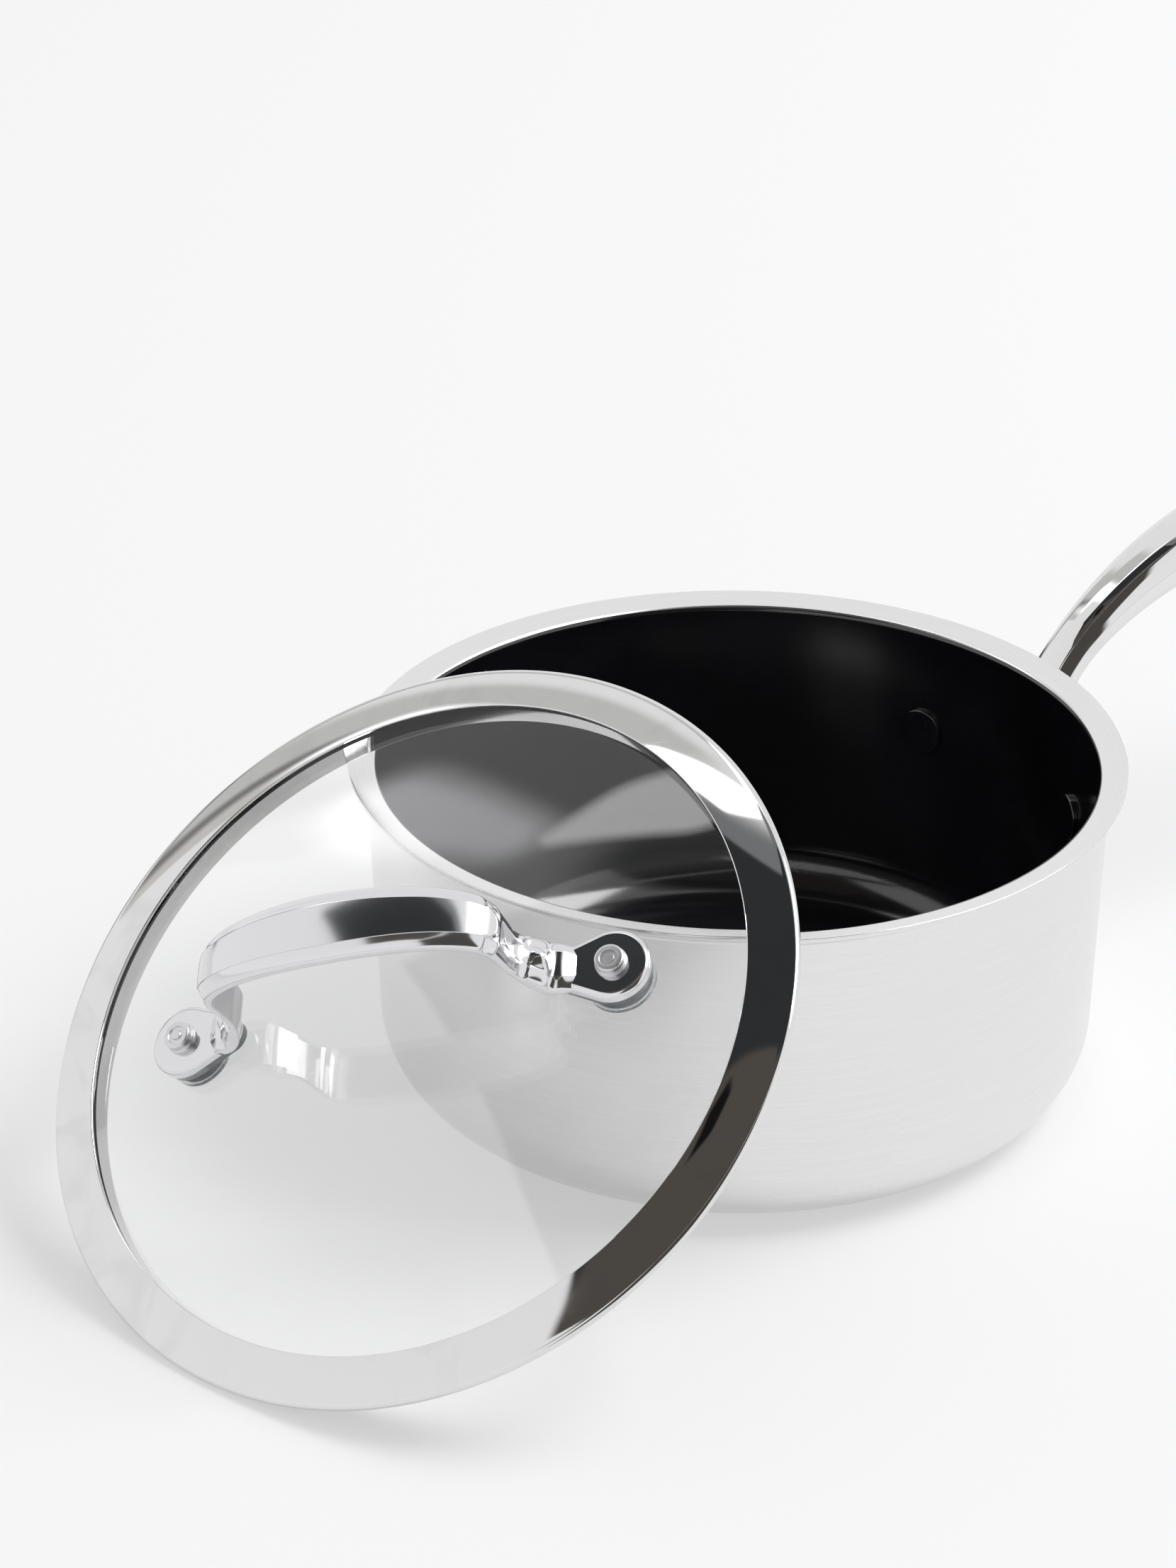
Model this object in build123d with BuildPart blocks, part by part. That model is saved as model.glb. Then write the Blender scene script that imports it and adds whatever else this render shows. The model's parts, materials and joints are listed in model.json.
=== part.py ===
"""Saucepan with a riveted cast handle and a steel-banded glass lid, in millimetres.

The pan stands on z = 0 with its axis on Z. The long handle runs along +X.
The lid leans on the pan's rim on the side away from the handle, with its lower edge on z = 0.
"""

import os
from math import asin, cos, radians, sin, sqrt, tan

from build123d import *

os.makedirs("parts", exist_ok=True)

# ---------------------------------------------------------------- driving dimensions: pan
pan_height = 76.3            # base to the top of the rim
rim_radius = 85.0            # outer edge of the pouring rim
rim_overhang = 3.7           # rim's edge past the wall's own line
base_corner_radius = 16.4    # outside of the rounded base
wall_draft = 2.0             # degrees, the wall opens upwards
outer_flare_radius = 1.5     # bend from wall to rim, outside
inner_flare_radius = 1.6     # and inside
rim_slope = 13.0             # degrees, the top of the rim climbs outwards
underside_slope = 30.0       # degrees, the rim thins towards its edge
rim_round = 0.25             # rounding of the rim's edge
outer_skin = 0.5             # magnetic stainless steel
core = 1.6                   # aluminium, sealed in where the skins meet at the rim
core_edge = 0.1              # what is left of the core at the rim's edge
inner_skin = 0.4             # stainless steel
coating = 0.1                # ceramic non-stick
coating_edge_angle = 42.0    # degrees of the flare that the coating runs up

# ---------------------------------------------------------------- driving dimensions: long handle
rivet_drop = 26.3            # rivets below the top of the rim
rivet_spread = 20.0          # degrees each side of the handle
rivet_shank_radius = 2.6
rivet_inner_head_radius = 5.4
rivet_inner_head_height = 1.2
rivet_inner_chamfer = 0.4
rivet_outer_head_radius = 5.0
rivet_outer_head_height = 1.8
rivet_outer_fillet = 1.25
spot_face_depth = 0.4        # seat cut in the saddle for each outer head
spot_face_clearance = 0.2
saddle_thickness = 3.2       # plate that the rivets clamp to the wall
saddle_width = 69.0
saddle_height = 25.0
saddle_end_radius = 11.0

neck_root_rise = 4.0         # root of the neck above the rivets
neck_root_reach = 2.1        # root of the neck out from the wall
neck_root_climb = 85.0       # degrees
neck_reach = 47.0            # end of the neck out from the rim
neck_rise = 19.5             # end of the neck above the rim
neck_climb = 12.5            # degrees
neck_pull = 22.5             # how far each end holds the neck's curve to its direction
handle_length = 189.0        # rim to the end of the grip
tail_rise = 38.3             # end of the grip above the rim
tail_climb = 5.0             # degrees
grip_pull = 48.0             # how far each end holds the grip's curve to its direction
tail_radius = 11.0           # rounded end, about the hanging hole
tail_trim = 1.0              # grip cut away past the rounded end
hanging_hole_radius = 4.5

# ---------------------------------------------------------------- driving dimensions: lid
lid_overhang = 0.4           # edge of the steel band past the rim
bead_radius = 1.2            # rolled outer edge of the band
band_sheet = 0.6
skirt_clearance = 3.2        # skirt to the inside of the wall
skirt_depth = 5.2            # ring under the glass that centres the lid in the pan
glass_lap = 5.5              # glass held inside the band
glass_edge_gap = 0.1         # between the glass edge and the band
glass_thickness = 4.0
dome_radius = 355.0          # outer face of the glass
dome_height = 11.3           # crown of the glass above the band's outer edge

stud_reach = 48.5            # studs from the lid's centre
washer_thickness = 0.8       # clear silicone under each pad
washer_margin = 0.35         # silicone that shows round the pad
pad_radius = 8.8
pad_thickness = 2.4
pad_fillet = 0.7
pad_neck_radius = 4.9
pad_neck_inset = 9.9         # from the stud towards the lid's centre
post_radius = 3.1
post_height = 5.0            # post above the pad
post_collar_width = 0.8
post_collar_height = 1.3
post_ring_radius = 2.0       # turned ring in the end of the post
post_ring_width = 1.0
post_ring_depth = 0.3
screw_radius = 2.0
screw_depth = 7.0            # screw inside the post
screw_head_radius = 4.2
screw_head_height = 2.4
screw_head_fillet = 0.95
hex_key_width = 2.5
hex_key_depth = 1.2
seal_radius = 7.4            # silicone under the glass
seal_thickness = 1.0
seal_collar_width = 0.9      # silicone between the post and the hole in the glass
seal_collar_gap = 0.4        # collar below the glass's outer face
steel_washer_radius = 6.6
steel_washer_thickness = 0.8
curve_margin = 0.5           # how far a flat piece runs into a curved face before it is trimmed

strap_toe_reach = 3.4        # toe of the strap out from the middle of the pad's neck
strap_toe_sink = 1.5         # toe of the strap below the pad's face
strap_toe_climb = 20.0       # degrees
strap_toe_pull = 1.0
leg_inset = 6.2              # legs in from the middle of the pad's neck
leg_foot_rise = 12.6         # where each leg starts to rise straight, above the pad
leg_foot_pull = 10.0
leg_height = 6.5
shoulder_pull = 6.5          # how far the leg holds the shoulder's curve upright
crown_pull = 20.3            # how far the crown holds the shoulder's curve level
bridge_rise = 33.55          # crown of the strap above the crown of the glass
strap_bevel = 1.7            # width of the bevels beside the strap's flat face
strap_bevel_depth = 1.0
strap_nib = 0.5              # small chamfer under each edge

# ---------------------------------------------------------------- driving dimensions: leaning lid
lean_angle = 38.3            # degrees from level
lean_azimuth = 193.45        # degrees, the way that the lid faces
lean_skew = 1.1              # degrees, the lid's centre round from the way it faces
handle_turn = 31.9           # degrees, bridge handle turned up the slope
lean_clearance = 0.15        # glass to the rim's corner, before its rounding


# ================================================================ pan wall
wall_thickness = outer_skin + core + inner_skin
draft = radians(wall_draft)
wall_normal = (cos(draft), -sin(draft))


def moved(point, direction, distance):
    """Return a 2-D point moved along a direction."""
    return (point[0] + direction[0] * distance, point[1] + direction[1] * distance)


def heading(climb):
    """Return the 2-D direction that climbs at an angle in degrees."""
    return (cos(radians(climb)), sin(radians(climb)))


def wall_reach(height):
    """Return the outer radius of the straight wall at a height."""
    return rim_radius - rim_overhang - (pan_height - height) * tan(draft)


foot_height = base_corner_radius * (1 - sin(draft))
wall_foot = (wall_reach(foot_height), foot_height)
corner_centre = moved(wall_foot, wall_normal, -base_corner_radius)
edge_height = (inner_skin / cos(radians(rim_slope)) + core_edge
               + outer_skin / cos(radians(underside_slope)))


def bend_centre(depth, radius, slope, edge_level):
    """Return the centre of the bend from the wall, at a depth, to a line that climbs to the rim."""
    climb = tan(radians(slope))
    reach_at_zero = wall_reach(0) + (radius - depth) / cos(draft)
    level_at_zero = edge_level - rim_radius * climb - radius / cos(radians(slope))
    level = (level_at_zero + reach_at_zero * climb) / (1 - tan(draft) * climb)
    return (reach_at_zero + level * tan(draft), level)


outer_bend = bend_centre(0, outer_flare_radius, underside_slope, pan_height - edge_height)
inner_bend = bend_centre(wall_thickness, inner_flare_radius, rim_slope, pan_height)
wall_top = moved(outer_bend, wall_normal, -outer_flare_radius)


def draw_face(depth, centre, radius, slope, stop=None):
    """Draw a face of the wall from the axis to the rim's edge, or to a stop on the bend.

    Return the face's last point."""
    corner = base_corner_radius - depth
    foot = moved(wall_foot, wall_normal, -depth)
    top = moved(centre, wall_normal, -radius)
    start_angle = 180 - wall_draft
    stop_angle = start_angle - stop if stop else 90 + slope
    end = moved(centre, heading(stop_angle), radius)
    Line((0, depth), (corner_centre[0], depth))
    ThreePointArc((corner_centre[0], depth), moved(corner_centre, heading(-45), corner), foot)
    Line(foot, top)
    ThreePointArc(top, moved(centre, heading((start_angle + stop_angle) / 2), radius), end)
    if stop:
        return end
    edge = moved(end, heading(slope), (rim_radius - end[0]) / cos(radians(slope)))
    Line(end, edge)
    return edge


def draw_outer(depth):
    """Draw the face at a depth under the outside of the pan, and return its last point."""
    return draw_face(depth, outer_bend, outer_flare_radius + depth, underside_slope)


def draw_inner(depth, stop=None):
    """Draw the face at a depth under the inside of the pan, and return its last point."""
    return draw_face(wall_thickness - depth, inner_bend, inner_flare_radius - depth, rim_slope, stop)


rivet_height = pan_height - rivet_drop


def rivet_plane(side, offset=0.0):
    """Return the plane on the outer wall at a rivet, facing out, moved out by an offset."""
    turn = radians(rivet_spread * side)
    reach = wall_reach(rivet_height)
    normal = Vector(cos(turn) * cos(draft), sin(turn) * cos(draft), -sin(draft))
    point = Vector(reach * cos(turn), reach * sin(turn), rivet_height)
    return Plane(origin=point + normal * offset, x_dir=(-sin(turn), cos(turn), 0), z_dir=normal)


def pierce(plane, radius, reach):
    """Cut a round hole both ways through the part being built."""
    with BuildSketch(plane) as hole:
        Circle(radius)
    extrude(hole.sketch, amount=reach, both=True, mode=Mode.SUBTRACT)


sides = {"left": 1, "right": -1}
rivet_bore = saddle_thickness + wall_thickness + rivet_inner_head_height

with BuildPart() as outer_steel_skin:
    with BuildSketch(Plane.XZ) as section:
        with BuildLine():
            near_end = draw_outer(0)
            far_end = draw_outer(outer_skin)
            Line(near_end, far_end)
            Line((0, 0), (0, outer_skin))
        make_face()
        fillet(section.vertices().sort_by_distance(near_end)[0], rim_round)
    revolve(axis=Axis.Z)
    for side in sides.values():
        pierce(rivet_plane(side), rivet_shank_radius, rivet_bore)

with BuildPart() as aluminium_core:
    with BuildSketch(Plane.XZ):
        with BuildLine():
            near_end = draw_outer(outer_skin)
            far_end = draw_inner(inner_skin)
            Line(near_end, far_end)
            Line((0, outer_skin), (0, outer_skin + core))
        make_face()
    revolve(axis=Axis.Z)
    for side in sides.values():
        pierce(rivet_plane(side), rivet_shank_radius, rivet_bore)

with BuildPart() as inner_steel_skin:
    with BuildSketch(Plane.XZ) as section:
        with BuildLine():
            near_end = draw_inner(inner_skin)
            far_end = draw_inner(0)
            Line(near_end, far_end)
            Line((0, outer_skin + core), (0, wall_thickness))
        make_face()
        fillet(section.vertices().sort_by_distance(far_end)[0], rim_round)
    revolve(axis=Axis.Z)
    for side in sides.values():
        pierce(rivet_plane(side), rivet_shank_radius, rivet_bore)

with BuildPart() as nonstick_coating:
    with BuildSketch(Plane.XZ):
        with BuildLine():
            near_end = draw_inner(0, coating_edge_angle)
            far_end = draw_inner(-coating, coating_edge_angle)
            Line(near_end, far_end)
            Line((0, wall_thickness), (0, wall_thickness + coating))
        make_face()
    revolve(axis=Axis.Z)
    for side in sides.values():
        pierce(rivet_plane(side), rivet_inner_head_radius, rivet_bore)


# ================================================================ long handle
neck_root = (wall_reach(rivet_height + neck_root_rise) + neck_root_reach,
             rivet_height + neck_root_rise)
neck_end = (rim_radius + neck_reach, pan_height + neck_rise)
grip_end = (rim_radius + handle_length, pan_height + tail_rise)

with BuildLine(Plane.XZ) as handle_spine:
    Bezier(neck_root, moved(neck_root, heading(neck_root_climb), neck_pull),
           moved(neck_end, heading(neck_climb), -neck_pull), neck_end)
    Bezier(neck_end, moved(neck_end, heading(neck_climb), grip_pull),
           moved(grip_end, heading(tail_climb), -grip_pull), grip_end)

# Stations of the cast grip: share of the spine's length, half width, thickness.
grip_stations = [
    (0.0, 12.0, 7.0),
    (0.034, 8.6, 7.4),
    (0.068, 6.6, 6.8),
    (0.104, 5.9, 6.6),
    (0.148, 6.2, 7.2),
    (0.203, 6.9, 8.6),
    (0.259, 7.6, 10.4),
    (0.315, 8.3, 11.8),
    (0.411, 9.2, 12.8),
    (0.554, 10.2, 12.8),
    (0.721, 10.8, 11.4),
    (0.877, 11.3, 8.6),
    (1.0, 11.3, 6.0),
]
hole_reach, hole_level = moved(grip_end, heading(tail_climb), -tail_radius - tail_trim)
tail_plane = Plane(
    origin=(hole_reach, 0, hole_level),
    x_dir=(cos(radians(tail_climb)), 0, sin(radians(tail_climb))),
    z_dir=(-sin(radians(tail_climb)), 0, cos(radians(tail_climb))),
)


def grip_outline(half, thickness):
    """Return the grip's section: a broad crowned top, crisp ridges and hollow lower sides."""
    right = [(0.80, 0.43), (1.00, 0.16), (0.84, -0.12), (0.70, -0.38), (0.42, -0.50)]
    edge = [(0.0, 0.50)] + right + [(-x, y) for x, y in reversed(right)]
    return [(x * half, y * thickness) for x, y in edge]


with BuildPart() as pan_envelope:
    with BuildSketch(Plane.XZ):
        with BuildLine():
            rim_end = draw_outer(0)
            Polyline(rim_end, (0, rim_end[1]), (0, 0))
        make_face()
    revolve(axis=Axis.Z)

with BuildPart() as long_handle:
    # The saddle plate is a slice of a cone that lies on the wall.
    with BuildSketch(Plane.XZ):
        with BuildLine():
            Polyline(*[moved(end, wall_normal, gap) for end, gap in (
                (wall_foot, -wall_thickness), (wall_top, -wall_thickness),
                (wall_top, saddle_thickness), (wall_foot, saddle_thickness))], close=True)
        make_face()
    revolve(axis=Axis.Z)
    with BuildSketch(Plane.YZ.offset(rim_radius / 2)):
        with Locations((0, rivet_height)):
            RectangleRounded(saddle_width, saddle_height, saddle_end_radius)
    extrude(amount=rim_radius, mode=Mode.INTERSECT)
    for share, half, thickness in grip_stations:
        with BuildSketch(Plane(handle_spine.wire().location_at(share, x_dir=(0, 1, 0)))):
            Polygon(*grip_outline(half, thickness), align=None)
    loft()
    # The tail is rounded in plan about the hanging hole.
    with BuildSketch(tail_plane):
        Rectangle(tail_radius * 2, tail_radius * 3, align=(Align.MIN, Align.CENTER))
        Circle(tail_radius, mode=Mode.SUBTRACT)
    extrude(amount=tail_radius, both=True, mode=Mode.SUBTRACT)
    pierce(tail_plane, hanging_hole_radius, tail_radius)
    # The wall's outer face trims the back of the saddle and the neck.
    add(pan_envelope.part, mode=Mode.SUBTRACT)
    for side in sides.values():
        pierce(rivet_plane(side), rivet_shank_radius, rivet_bore)
        with BuildSketch(rivet_plane(side, saddle_thickness - spot_face_depth)):
            Circle(rivet_outer_head_radius + spot_face_clearance)
        extrude(amount=saddle_thickness, mode=Mode.SUBTRACT)

with BuildPart() as cavity:
    with BuildSketch(Plane.XZ):
        with BuildLine():
            rim_end = draw_inner(0)
            Polyline(rim_end, (0, rim_end[1]), (0, wall_thickness))
        make_face()
    revolve(axis=Axis.Z)

rivets = {}
for side_name, side in sides.items():
    with BuildPart() as rivet:
        # The inner head's underside follows the round wall.
        with BuildSketch(rivet_plane(side, -wall_thickness - rivet_inner_head_height)):
            Circle(rivet_inner_head_radius)
        extrude(amount=rivet_inner_head_height * 2)
        add(cavity.part, mode=Mode.INTERSECT)
        chamfer(rivet.faces().sort_by(SortBy.DISTANCE)[0].edges(), rivet_inner_chamfer)
        head_seat = saddle_thickness - spot_face_depth
        with BuildSketch(rivet_plane(side, -wall_thickness - rivet_inner_head_height / 2)):
            Circle(rivet_shank_radius)
        extrude(amount=wall_thickness + rivet_inner_head_height / 2 + head_seat)
        with BuildSketch(rivet_plane(side, head_seat)):
            Circle(rivet_outer_head_radius)
        extrude(amount=rivet_outer_head_height)
        outer_face = rivet.faces().filter_by(GeomType.PLANE).sort_by(SortBy.DISTANCE)[-1]
        fillet(outer_face.edges(), rivet_outer_fillet)
    rivets[side_name] = rivet


# ================================================================ lid: where it leans
lean = radians(lean_angle)
bank = radians(lean_azimuth)
skew = radians(lean_skew)
turn = radians(handle_turn)


def dome_level(radius, reach, crown):
    """Return the height of a dome at a distance from its axis."""
    return crown - radius + sqrt(radius ** 2 - reach ** 2)


lid_radius = rim_radius + lid_overhang
skirt_radius = wall_reach(pan_height) - wall_thickness - skirt_clearance
band_inner_radius = skirt_radius - band_sheet
glass_radius = band_inner_radius + glass_lap
glass_hole_radius = post_radius + seal_collar_width
inner_dome_radius = dome_radius - glass_thickness
inner_dome_height = dome_height - glass_thickness
band_dome_radius = dome_radius + band_sheet
band_dome_height = dome_height + band_sheet
bead_reach = lid_radius - bead_radius
bead_level = dome_level(band_dome_radius, bead_reach, band_dome_height) - bead_radius

# The bead's lowest point is on the floor and the glass, part of a ball, rests on the rim.
lid_level = bead_reach * sin(lean) - bead_level * cos(lean) + bead_radius
ball_level = inner_dome_height - inner_dome_radius
drop = pan_height - lid_level - ball_level * cos(lean)
ball_reach = sqrt((inner_dome_radius - lean_clearance) ** 2 - drop ** 2) - rim_radius
ball_back = -ball_level * sin(lean)
lid_reach = ball_back * cos(skew) - sqrt(ball_reach ** 2 - (ball_back * sin(skew)) ** 2)

lid_normal = Vector(sin(lean) * cos(bank), sin(lean) * sin(bank), cos(lean))
level_way = Vector(-sin(bank), cos(bank), 0)
upslope_way = lid_normal.cross(level_way)
lid_plane = Plane(
    origin=(lid_reach * cos(bank + skew), lid_reach * sin(bank + skew), lid_level),
    x_dir=level_way * cos(turn) + upslope_way * sin(turn),
    z_dir=lid_normal,
)
lid_section = Plane(origin=lid_plane.origin, x_dir=lid_plane.x_dir, z_dir=-lid_plane.y_dir)
lid_axis = Axis(lid_plane.origin, lid_plane.z_dir)


def stud_plane(side, offset=0.0):
    """Return the plane square to the glass at a stud, above its outer face by an offset."""
    tilt = asin(stud_reach / dome_radius)
    normal = lid_plane.x_dir * (side * sin(tilt)) + lid_plane.z_dir * cos(tilt)
    along = lid_plane.x_dir * (side * cos(tilt)) - lid_plane.z_dir * sin(tilt)
    level = dome_level(dome_radius, stud_reach, dome_height)
    point = lid_plane.from_local_coords((side * stud_reach, 0, level))
    return Plane(origin=point + normal * offset, x_dir=along, z_dir=normal)


def dome_ball(radius, crown):
    """Return the solid ball whose top is a dome of the lid."""
    centre = lid_plane.from_local_coords((0, 0, crown - radius))
    with BuildPart() as ball:
        with Locations(centre):
            Sphere(radius)
    return ball.part


def dome_arc(radius, crown, start, stop):
    """Draw an arc of a dome's section between two distances from the axis."""
    middle = (start + stop) / 2
    ThreePointArc(*[(reach, dome_level(radius, reach, crown)) for reach in (start, middle, stop)])


# ================================================================ lid: glass and band
with BuildPart() as lid_glass:
    with BuildSketch(lid_section):
        with BuildLine():
            dome_arc(dome_radius, dome_height, 0, glass_radius)
            dome_arc(inner_dome_radius, inner_dome_height, 0, glass_radius)
            Line((glass_radius, dome_level(dome_radius, glass_radius, dome_height)),
                 (glass_radius, dome_level(inner_dome_radius, glass_radius, inner_dome_height)))
            Line((0, dome_height), (0, inner_dome_height))
        make_face()
    revolve(axis=lid_axis)
    for side in sides.values():
        pierce(stud_plane(side), glass_hole_radius, glass_thickness * 2)

pocket = glass_radius + glass_edge_gap
under_radius = inner_dome_radius - band_sheet
under_height = inner_dome_height - band_sheet
skirt_end = dome_level(inner_dome_radius, band_inner_radius, inner_dome_height) - skirt_depth

with BuildPart() as lid_band:
    with BuildSketch(lid_section):
        with BuildLine():
            # Inside of the fold: over the glass, round its edge and back under it.
            dome_arc(dome_radius, dome_height, band_inner_radius, pocket)
            Line((pocket, dome_level(dome_radius, pocket, dome_height)),
                 (pocket, dome_level(inner_dome_radius, pocket, inner_dome_height)))
            dome_arc(inner_dome_radius, inner_dome_height, band_inner_radius, pocket)
            # Skirt that drops into the pan.
            inner_foot = (band_inner_radius, skirt_end)
            outer_foot = (skirt_radius, skirt_end)
            skirt_top = (skirt_radius, dome_level(under_radius, skirt_radius, under_height))
            Line((band_inner_radius,
                  dome_level(inner_dome_radius, band_inner_radius, inner_dome_height)), inner_foot)
            ThreePointArc(inner_foot,
                          ((band_inner_radius + skirt_radius) / 2, skirt_end - band_sheet / 2),
                          outer_foot)
            Line(outer_foot, skirt_top)
            # Outside of the fold, the flattened hem and the rolled bead.
            turn_in = pocket + band_sheet
            hem_level = bead_level - bead_radius
            under_end = (turn_in, dome_level(under_radius, turn_in, under_height))
            dome_arc(under_radius, under_height, skirt_radius, turn_in)
            Polyline(under_end, (turn_in, hem_level), (bead_reach, hem_level))
            ThreePointArc((bead_reach, hem_level), (lid_radius, bead_level),
                          (bead_reach, bead_level + bead_radius))
            dome_arc(band_dome_radius, band_dome_height, band_inner_radius, bead_reach)
            Line((band_inner_radius, dome_level(band_dome_radius, band_inner_radius,
                                                band_dome_height)),
                 (band_inner_radius, dome_level(dome_radius, band_inner_radius, dome_height)))
        make_face()
    revolve(axis=lid_axis)

# ================================================================ lid: bridge handle
pad_neck_reach = stud_reach - pad_neck_inset
pad_level = dome_level(dome_radius, pad_neck_reach, dome_height) + washer_thickness + pad_thickness
leg_reach = pad_neck_reach - leg_inset
toe = (pad_neck_reach + strap_toe_reach, pad_level - strap_toe_sink)
leg_foot = (leg_reach, pad_level + leg_foot_rise)
leg_top = (leg_reach, leg_foot[1] + leg_height)
crown = (0.0, dome_height + bridge_rise)
toe_way = (-cos(radians(strap_toe_climb)), sin(radians(strap_toe_climb)))

half_strap = [
    [toe, moved(toe, toe_way, strap_toe_pull), moved(leg_foot, (0, -1), leg_foot_pull), leg_foot],
    [leg_foot, leg_top],
    [leg_top, moved(leg_top, (0, 1), shoulder_pull), moved(crown, (1, 0), crown_pull), crown],
]
with BuildLine(lid_section) as strap_spine:
    for curve in half_strap:
        Bezier(*[(-reach, level) for reach, level in curve])
    for curve in reversed(half_strap):
        Bezier(*reversed(curve))

# Stations of the strap: share of the way from a toe to the crown, half width, thickness.
strap_stations = [
    (0.0, 4.6, 1.8),
    (0.08, 5.6, 4.2),
    (0.2, 5.0, 3.0),
    (0.29, 5.3, 2.7),
    (0.395, 5.9, 3.2),
    (0.47, 6.3, 3.6),
    (0.56, 6.7, 3.6),
    (0.705, 7.2, 3.6),
    (0.855, 7.6, 3.5),
    (1.0, 7.8, 3.5),
]


def strap_outline(half, thickness):
    """Return the strap's section: a flat top face between broad bevels."""
    top = thickness / 2
    right = [(half - strap_bevel, top), (half, top - strap_bevel_depth),
             (half, strap_nib - top), (half - strap_nib, -top)]
    return right + [(-x, y) for x, y in reversed(right)]


def draw_pad(margin=0.0):
    """Draw the teardrop outline of a pad about its stud, grown by a margin."""
    with BuildSketch(mode=Mode.PRIVATE) as pad:
        Circle(pad_radius + margin)
        with Locations((pad_neck_reach - stud_reach, 0)):
            Circle(pad_neck_radius + margin)
        make_hull()
    return pad.sketch


with BuildPart() as lid_handle:
    for side in sides.values():
        with BuildSketch(stud_plane(side, washer_thickness)):
            add(draw_pad())
        extrude(amount=pad_thickness)
    for side in sides.values():
        pad_top = lid_handle.faces().sort_by(Axis(stud_plane(side).origin, stud_plane(side).z_dir))
        pad_top = [face for face in pad_top if face.distance_to(stud_plane(side).origin) < pad_radius]
        fillet(pad_top[-1].edges(), pad_fillet)
    rising = [(share / 2, half, thickness) for share, half, thickness in strap_stations]
    falling = [(1 - share, half, thickness) for share, half, thickness in rising[-2::-1]]
    for share, half, thickness in rising + falling:
        station = strap_spine.wire().location_at(share, x_dir=lid_plane.y_dir)
        with BuildSketch(Plane(station)):
            Polygon(*strap_outline(half, thickness), align=None)
    loft()
    for side in sides.values():
        # The pads' flat undersides trim the feet of the strap.
        with BuildSketch(stud_plane(side, washer_thickness)):
            add(draw_pad(washer_margin * 2))
        extrude(amount=-washer_thickness * 2, mode=Mode.SUBTRACT)
        pierce(stud_plane(side), post_radius, pad_thickness * 3)

# ================================================================ lid: fixings at each stud
seal_level = -glass_thickness - seal_thickness
washer_level = seal_level - steel_washer_thickness
pad_top_level = washer_thickness + pad_thickness
outer_ball = dome_ball(dome_radius, dome_height)
inner_ball = dome_ball(inner_dome_radius, inner_dome_height)

fixings = {}
for side_name, side in sides.items():
    with BuildPart() as clear_washer:
        with BuildSketch(stud_plane(side, -curve_margin)):
            add(draw_pad(washer_margin))
            Circle(post_radius, mode=Mode.SUBTRACT)
        extrude(amount=washer_thickness + curve_margin)
        add(outer_ball, mode=Mode.SUBTRACT)

    with BuildPart() as seal:
        with BuildSketch(stud_plane(side, seal_level)):
            Circle(seal_radius)
        extrude(amount=seal_thickness + curve_margin)
        add(inner_ball, mode=Mode.INTERSECT)
        with BuildSketch(stud_plane(side, seal_level)):
            Circle(glass_hole_radius)
        extrude(amount=seal_thickness + glass_thickness - seal_collar_gap)
        pierce(stud_plane(side, seal_level), post_radius, glass_thickness * 2)

    with BuildPart() as post:
        with BuildSketch(stud_plane(side, seal_level)):
            Circle(post_radius)
        extrude(amount=pad_top_level + post_height - seal_level)
        with BuildSketch(stud_plane(side, pad_top_level)):
            Circle(post_radius + post_collar_width)
        extrude(amount=post_collar_height)
        with BuildSketch(stud_plane(side, pad_top_level + post_height)):
            Circle(post_ring_radius)
            Circle(post_ring_radius - post_ring_width, mode=Mode.SUBTRACT)
        extrude(amount=-post_ring_depth, mode=Mode.SUBTRACT)
        with BuildSketch(stud_plane(side, seal_level)):
            Circle(screw_radius)
        extrude(amount=screw_depth, mode=Mode.SUBTRACT)

    with BuildPart() as steel_washer:
        with BuildSketch(stud_plane(side, washer_level)):
            Circle(steel_washer_radius)
            Circle(screw_radius, mode=Mode.SUBTRACT)
        extrude(amount=steel_washer_thickness)

    with BuildPart() as screw:
        with BuildSketch(stud_plane(side, washer_level)):
            Circle(screw_head_radius)
        extrude(amount=-screw_head_height)
        head_face = screw.faces().sort_by(Axis(stud_plane(side).origin, stud_plane(side).z_dir))[0]
        fillet(head_face.edges(), screw_head_fillet)
        with BuildSketch(stud_plane(side, washer_level - screw_head_height)):
            RegularPolygon(hex_key_width / 2, 6, major_radius=False)
        extrude(amount=hex_key_depth, mode=Mode.SUBTRACT)
        with BuildSketch(stud_plane(side, washer_level)):
            Circle(screw_radius)
        extrude(amount=steel_washer_thickness + screw_depth)

    fixings[side_name] = {
        "clear_washer": clear_washer,
        "seal": seal,
        "post": post,
        "steel_washer": steel_washer,
        "screw": screw,
    }

# ================================================================ finished pieces
pieces = {
    "outer_steel_skin": outer_steel_skin,
    "aluminium_core": aluminium_core,
    "inner_steel_skin": inner_steel_skin,
    "nonstick_coating": nonstick_coating,
    "long_handle": long_handle,
    "lid_glass": lid_glass,
    "lid_band": lid_band,
    "lid_handle": lid_handle,
}
for side_name in sides:
    pieces[f"rivet_{side_name}"] = rivets[side_name]
    for kind, fixing in fixings[side_name].items():
        pieces[f"{kind}_{side_name}"] = fixing

for name, piece in pieces.items():
    piece.part.label = name
    export_step(piece.part, f"parts/{name}.step")
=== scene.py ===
"""Saucepan with a riveted cast handle and a glass lid that leans on its rim, in a pale studio."""

import json
import logging
from dataclasses import dataclass, field
from enum import Enum
from math import asin, cos, radians, sin, sqrt, tan

import bmesh
import bpy
import numpy as np
from mathutils import Matrix

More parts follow.
